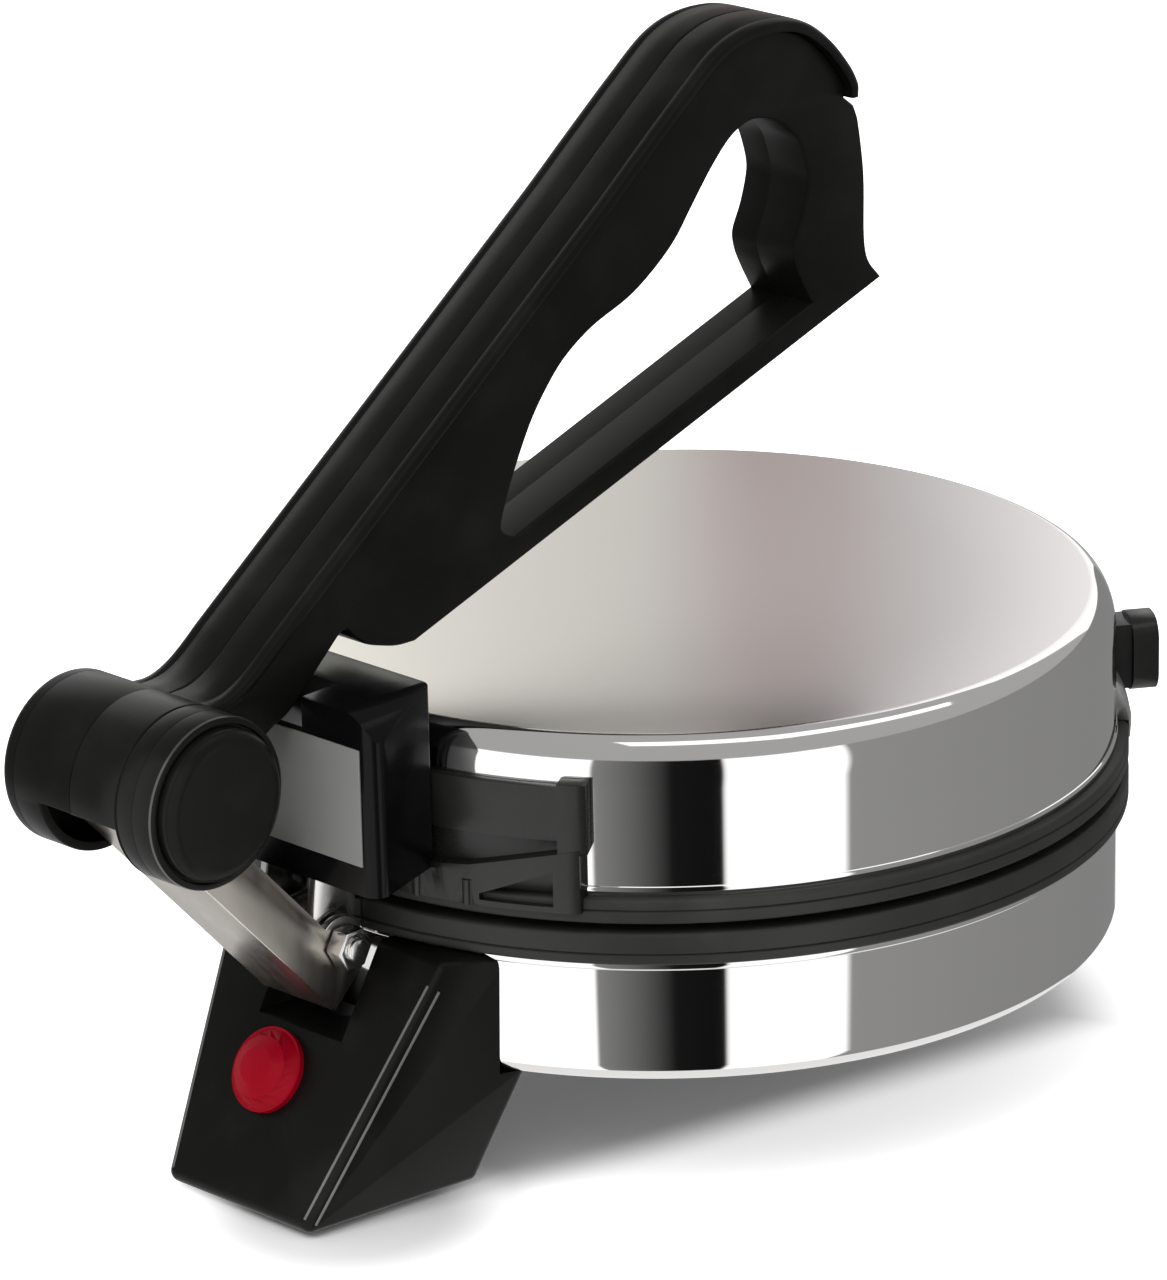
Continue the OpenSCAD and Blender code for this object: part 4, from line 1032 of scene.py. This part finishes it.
def reflector_cards():
    """Cards that draw the bright and dark panels in the steel."""
    def turn(f):
        x, y, z = f.axes()
        return (0 - y).atan2(AXIS * MM - x)          # 0 to the back, growing round the near side

    def deg(a, level):
        return (radians(a - 180), level)
    mat = ramp_emitter("ring_card", turn, [deg(a, v) for a, v in WALL_PANELS])
    n, r, low, high = 96, 0.215, -0.09, 0.16
    a0, a1 = WALL_PANELS[0][0], WALL_PANELS[-1][0]
    pts = arc(AXIS * MM, 0, r, a0, a1, n)
    verts = [(x, y, low) for x, y in pts] + [(x, y, high) for x, y in pts]
    card("ring_card", verts, [(k, k + 1, n + 2 + k, n + 1 + k) for k in range(n)], mat)

    across = (cos(radians(AZIMUTH)), sin(radians(AZIMUTH)))      # to the right as the camera sees it
    away = (-across[1], across[0])

    def side(f):
        x, y, z = f.axes()
        return (x - AXIS * MM) * across[0] + y * across[1]
    mat = ramp_emitter("back_card", side, TOP_PANELS)
    behind = 0.30
    verts = [(AXIS * MM + across[0] * u + away[0] * behind, across[1] * u + away[1] * behind, z)
             for u, z in ((-0.4, 0.14), (0.4, 0.14), (0.4, 0.6), (-0.4, 0.6))]
    card("back_card", verts, [(0, 1, 2, 3)], mat)
    card("low_card", corners(-0.5, -0.6, 0.6, 0.5, -0.1), [(0, 1, 2, 3)], emitter("low_card", 0.9))
    card("streak_card", [(x, y, 0.6) for x, y in STREAK], [tuple(range(len(STREAK)))],
         emitter("streak_card", 1.4))


def lamp(name, place, aim, size, power):
    """Soft lamp that no mirror shows."""
    data = bpy.data.lights.new(name, "AREA")
    data.shape, data.size, data.size_y, data.energy = "RECTANGLE", size[0], size[1], power
    ob = placed(name, data)
    ob.location = place
    ob.rotation_euler = (Vector(aim) - Vector(place)).to_track_quat("-Z", "Y").to_euler()
    ob.visible_glossy = False


def world():
    """One level for light, a lower one in mirrors, and white behind the part."""
    w = bpy.data.worlds.new("studio")
    bpy.context.scene.world = w
    w.use_nodes = True
    nodes, links = w.node_tree.nodes, w.node_tree.links
    back = nodes["Background"]
    back.inputs["Color"].default_value = (1, 1, 1, 1)
    path = nodes.new("ShaderNodeLightPath")
    level = WORLD_LIGHT
    for ray, other in (("Is Camera Ray", WORLD_SEEN), ("Is Glossy Ray", WORLD_SHINE)):
        mix = nodes.new("ShaderNodeMix")
        mix.data_type = "FLOAT"
        mix.inputs[3].default_value = other
        links.new(path.outputs[ray], mix.inputs[0])
        if isinstance(level, float):
            mix.inputs[2].default_value = level
        else:
            links.new(level, mix.inputs[2])
        level = mix.outputs[0]
    links.new(level, back.inputs["Strength"])


def camera():
    """The photograph's own view, from the fitted place and angles."""
    azim, elev, roll = radians(AZIMUTH), radians(ELEVATION), radians(ROLL)
    back = Vector((sin(azim) * cos(elev), -cos(azim) * cos(elev), sin(elev)))
    right = (-back).cross(Vector((0, 0, 1))).normalized()
    up = right.cross(-back)
    r2 = right * cos(roll) + up * sin(roll)
    u2 = up * cos(roll) - right * sin(roll)
    data = bpy.data.cameras.new("camera")
    data.sensor_fit, data.sensor_width = "HORIZONTAL", SENSOR
    data.lens = FOCAL_PX / PICTURE_PX * SENSOR
    data.clip_end = 50
    ob = placed("camera", data)
    m = Matrix((r2, u2, back)).transposed().to_4x4()
    m.translation = Vector(CAMERA_SPOT)
    ob.matrix_world = m
    bpy.context.scene.camera = ob


bpy.context.scene.view_settings.view_transform = "Standard"
stage_floor()
reflector_cards()
world()
lamp("key", (-1.06, -0.2, 1.6), (0.04, 0, 0.1), (1.2, 1.2), 16)
camera()
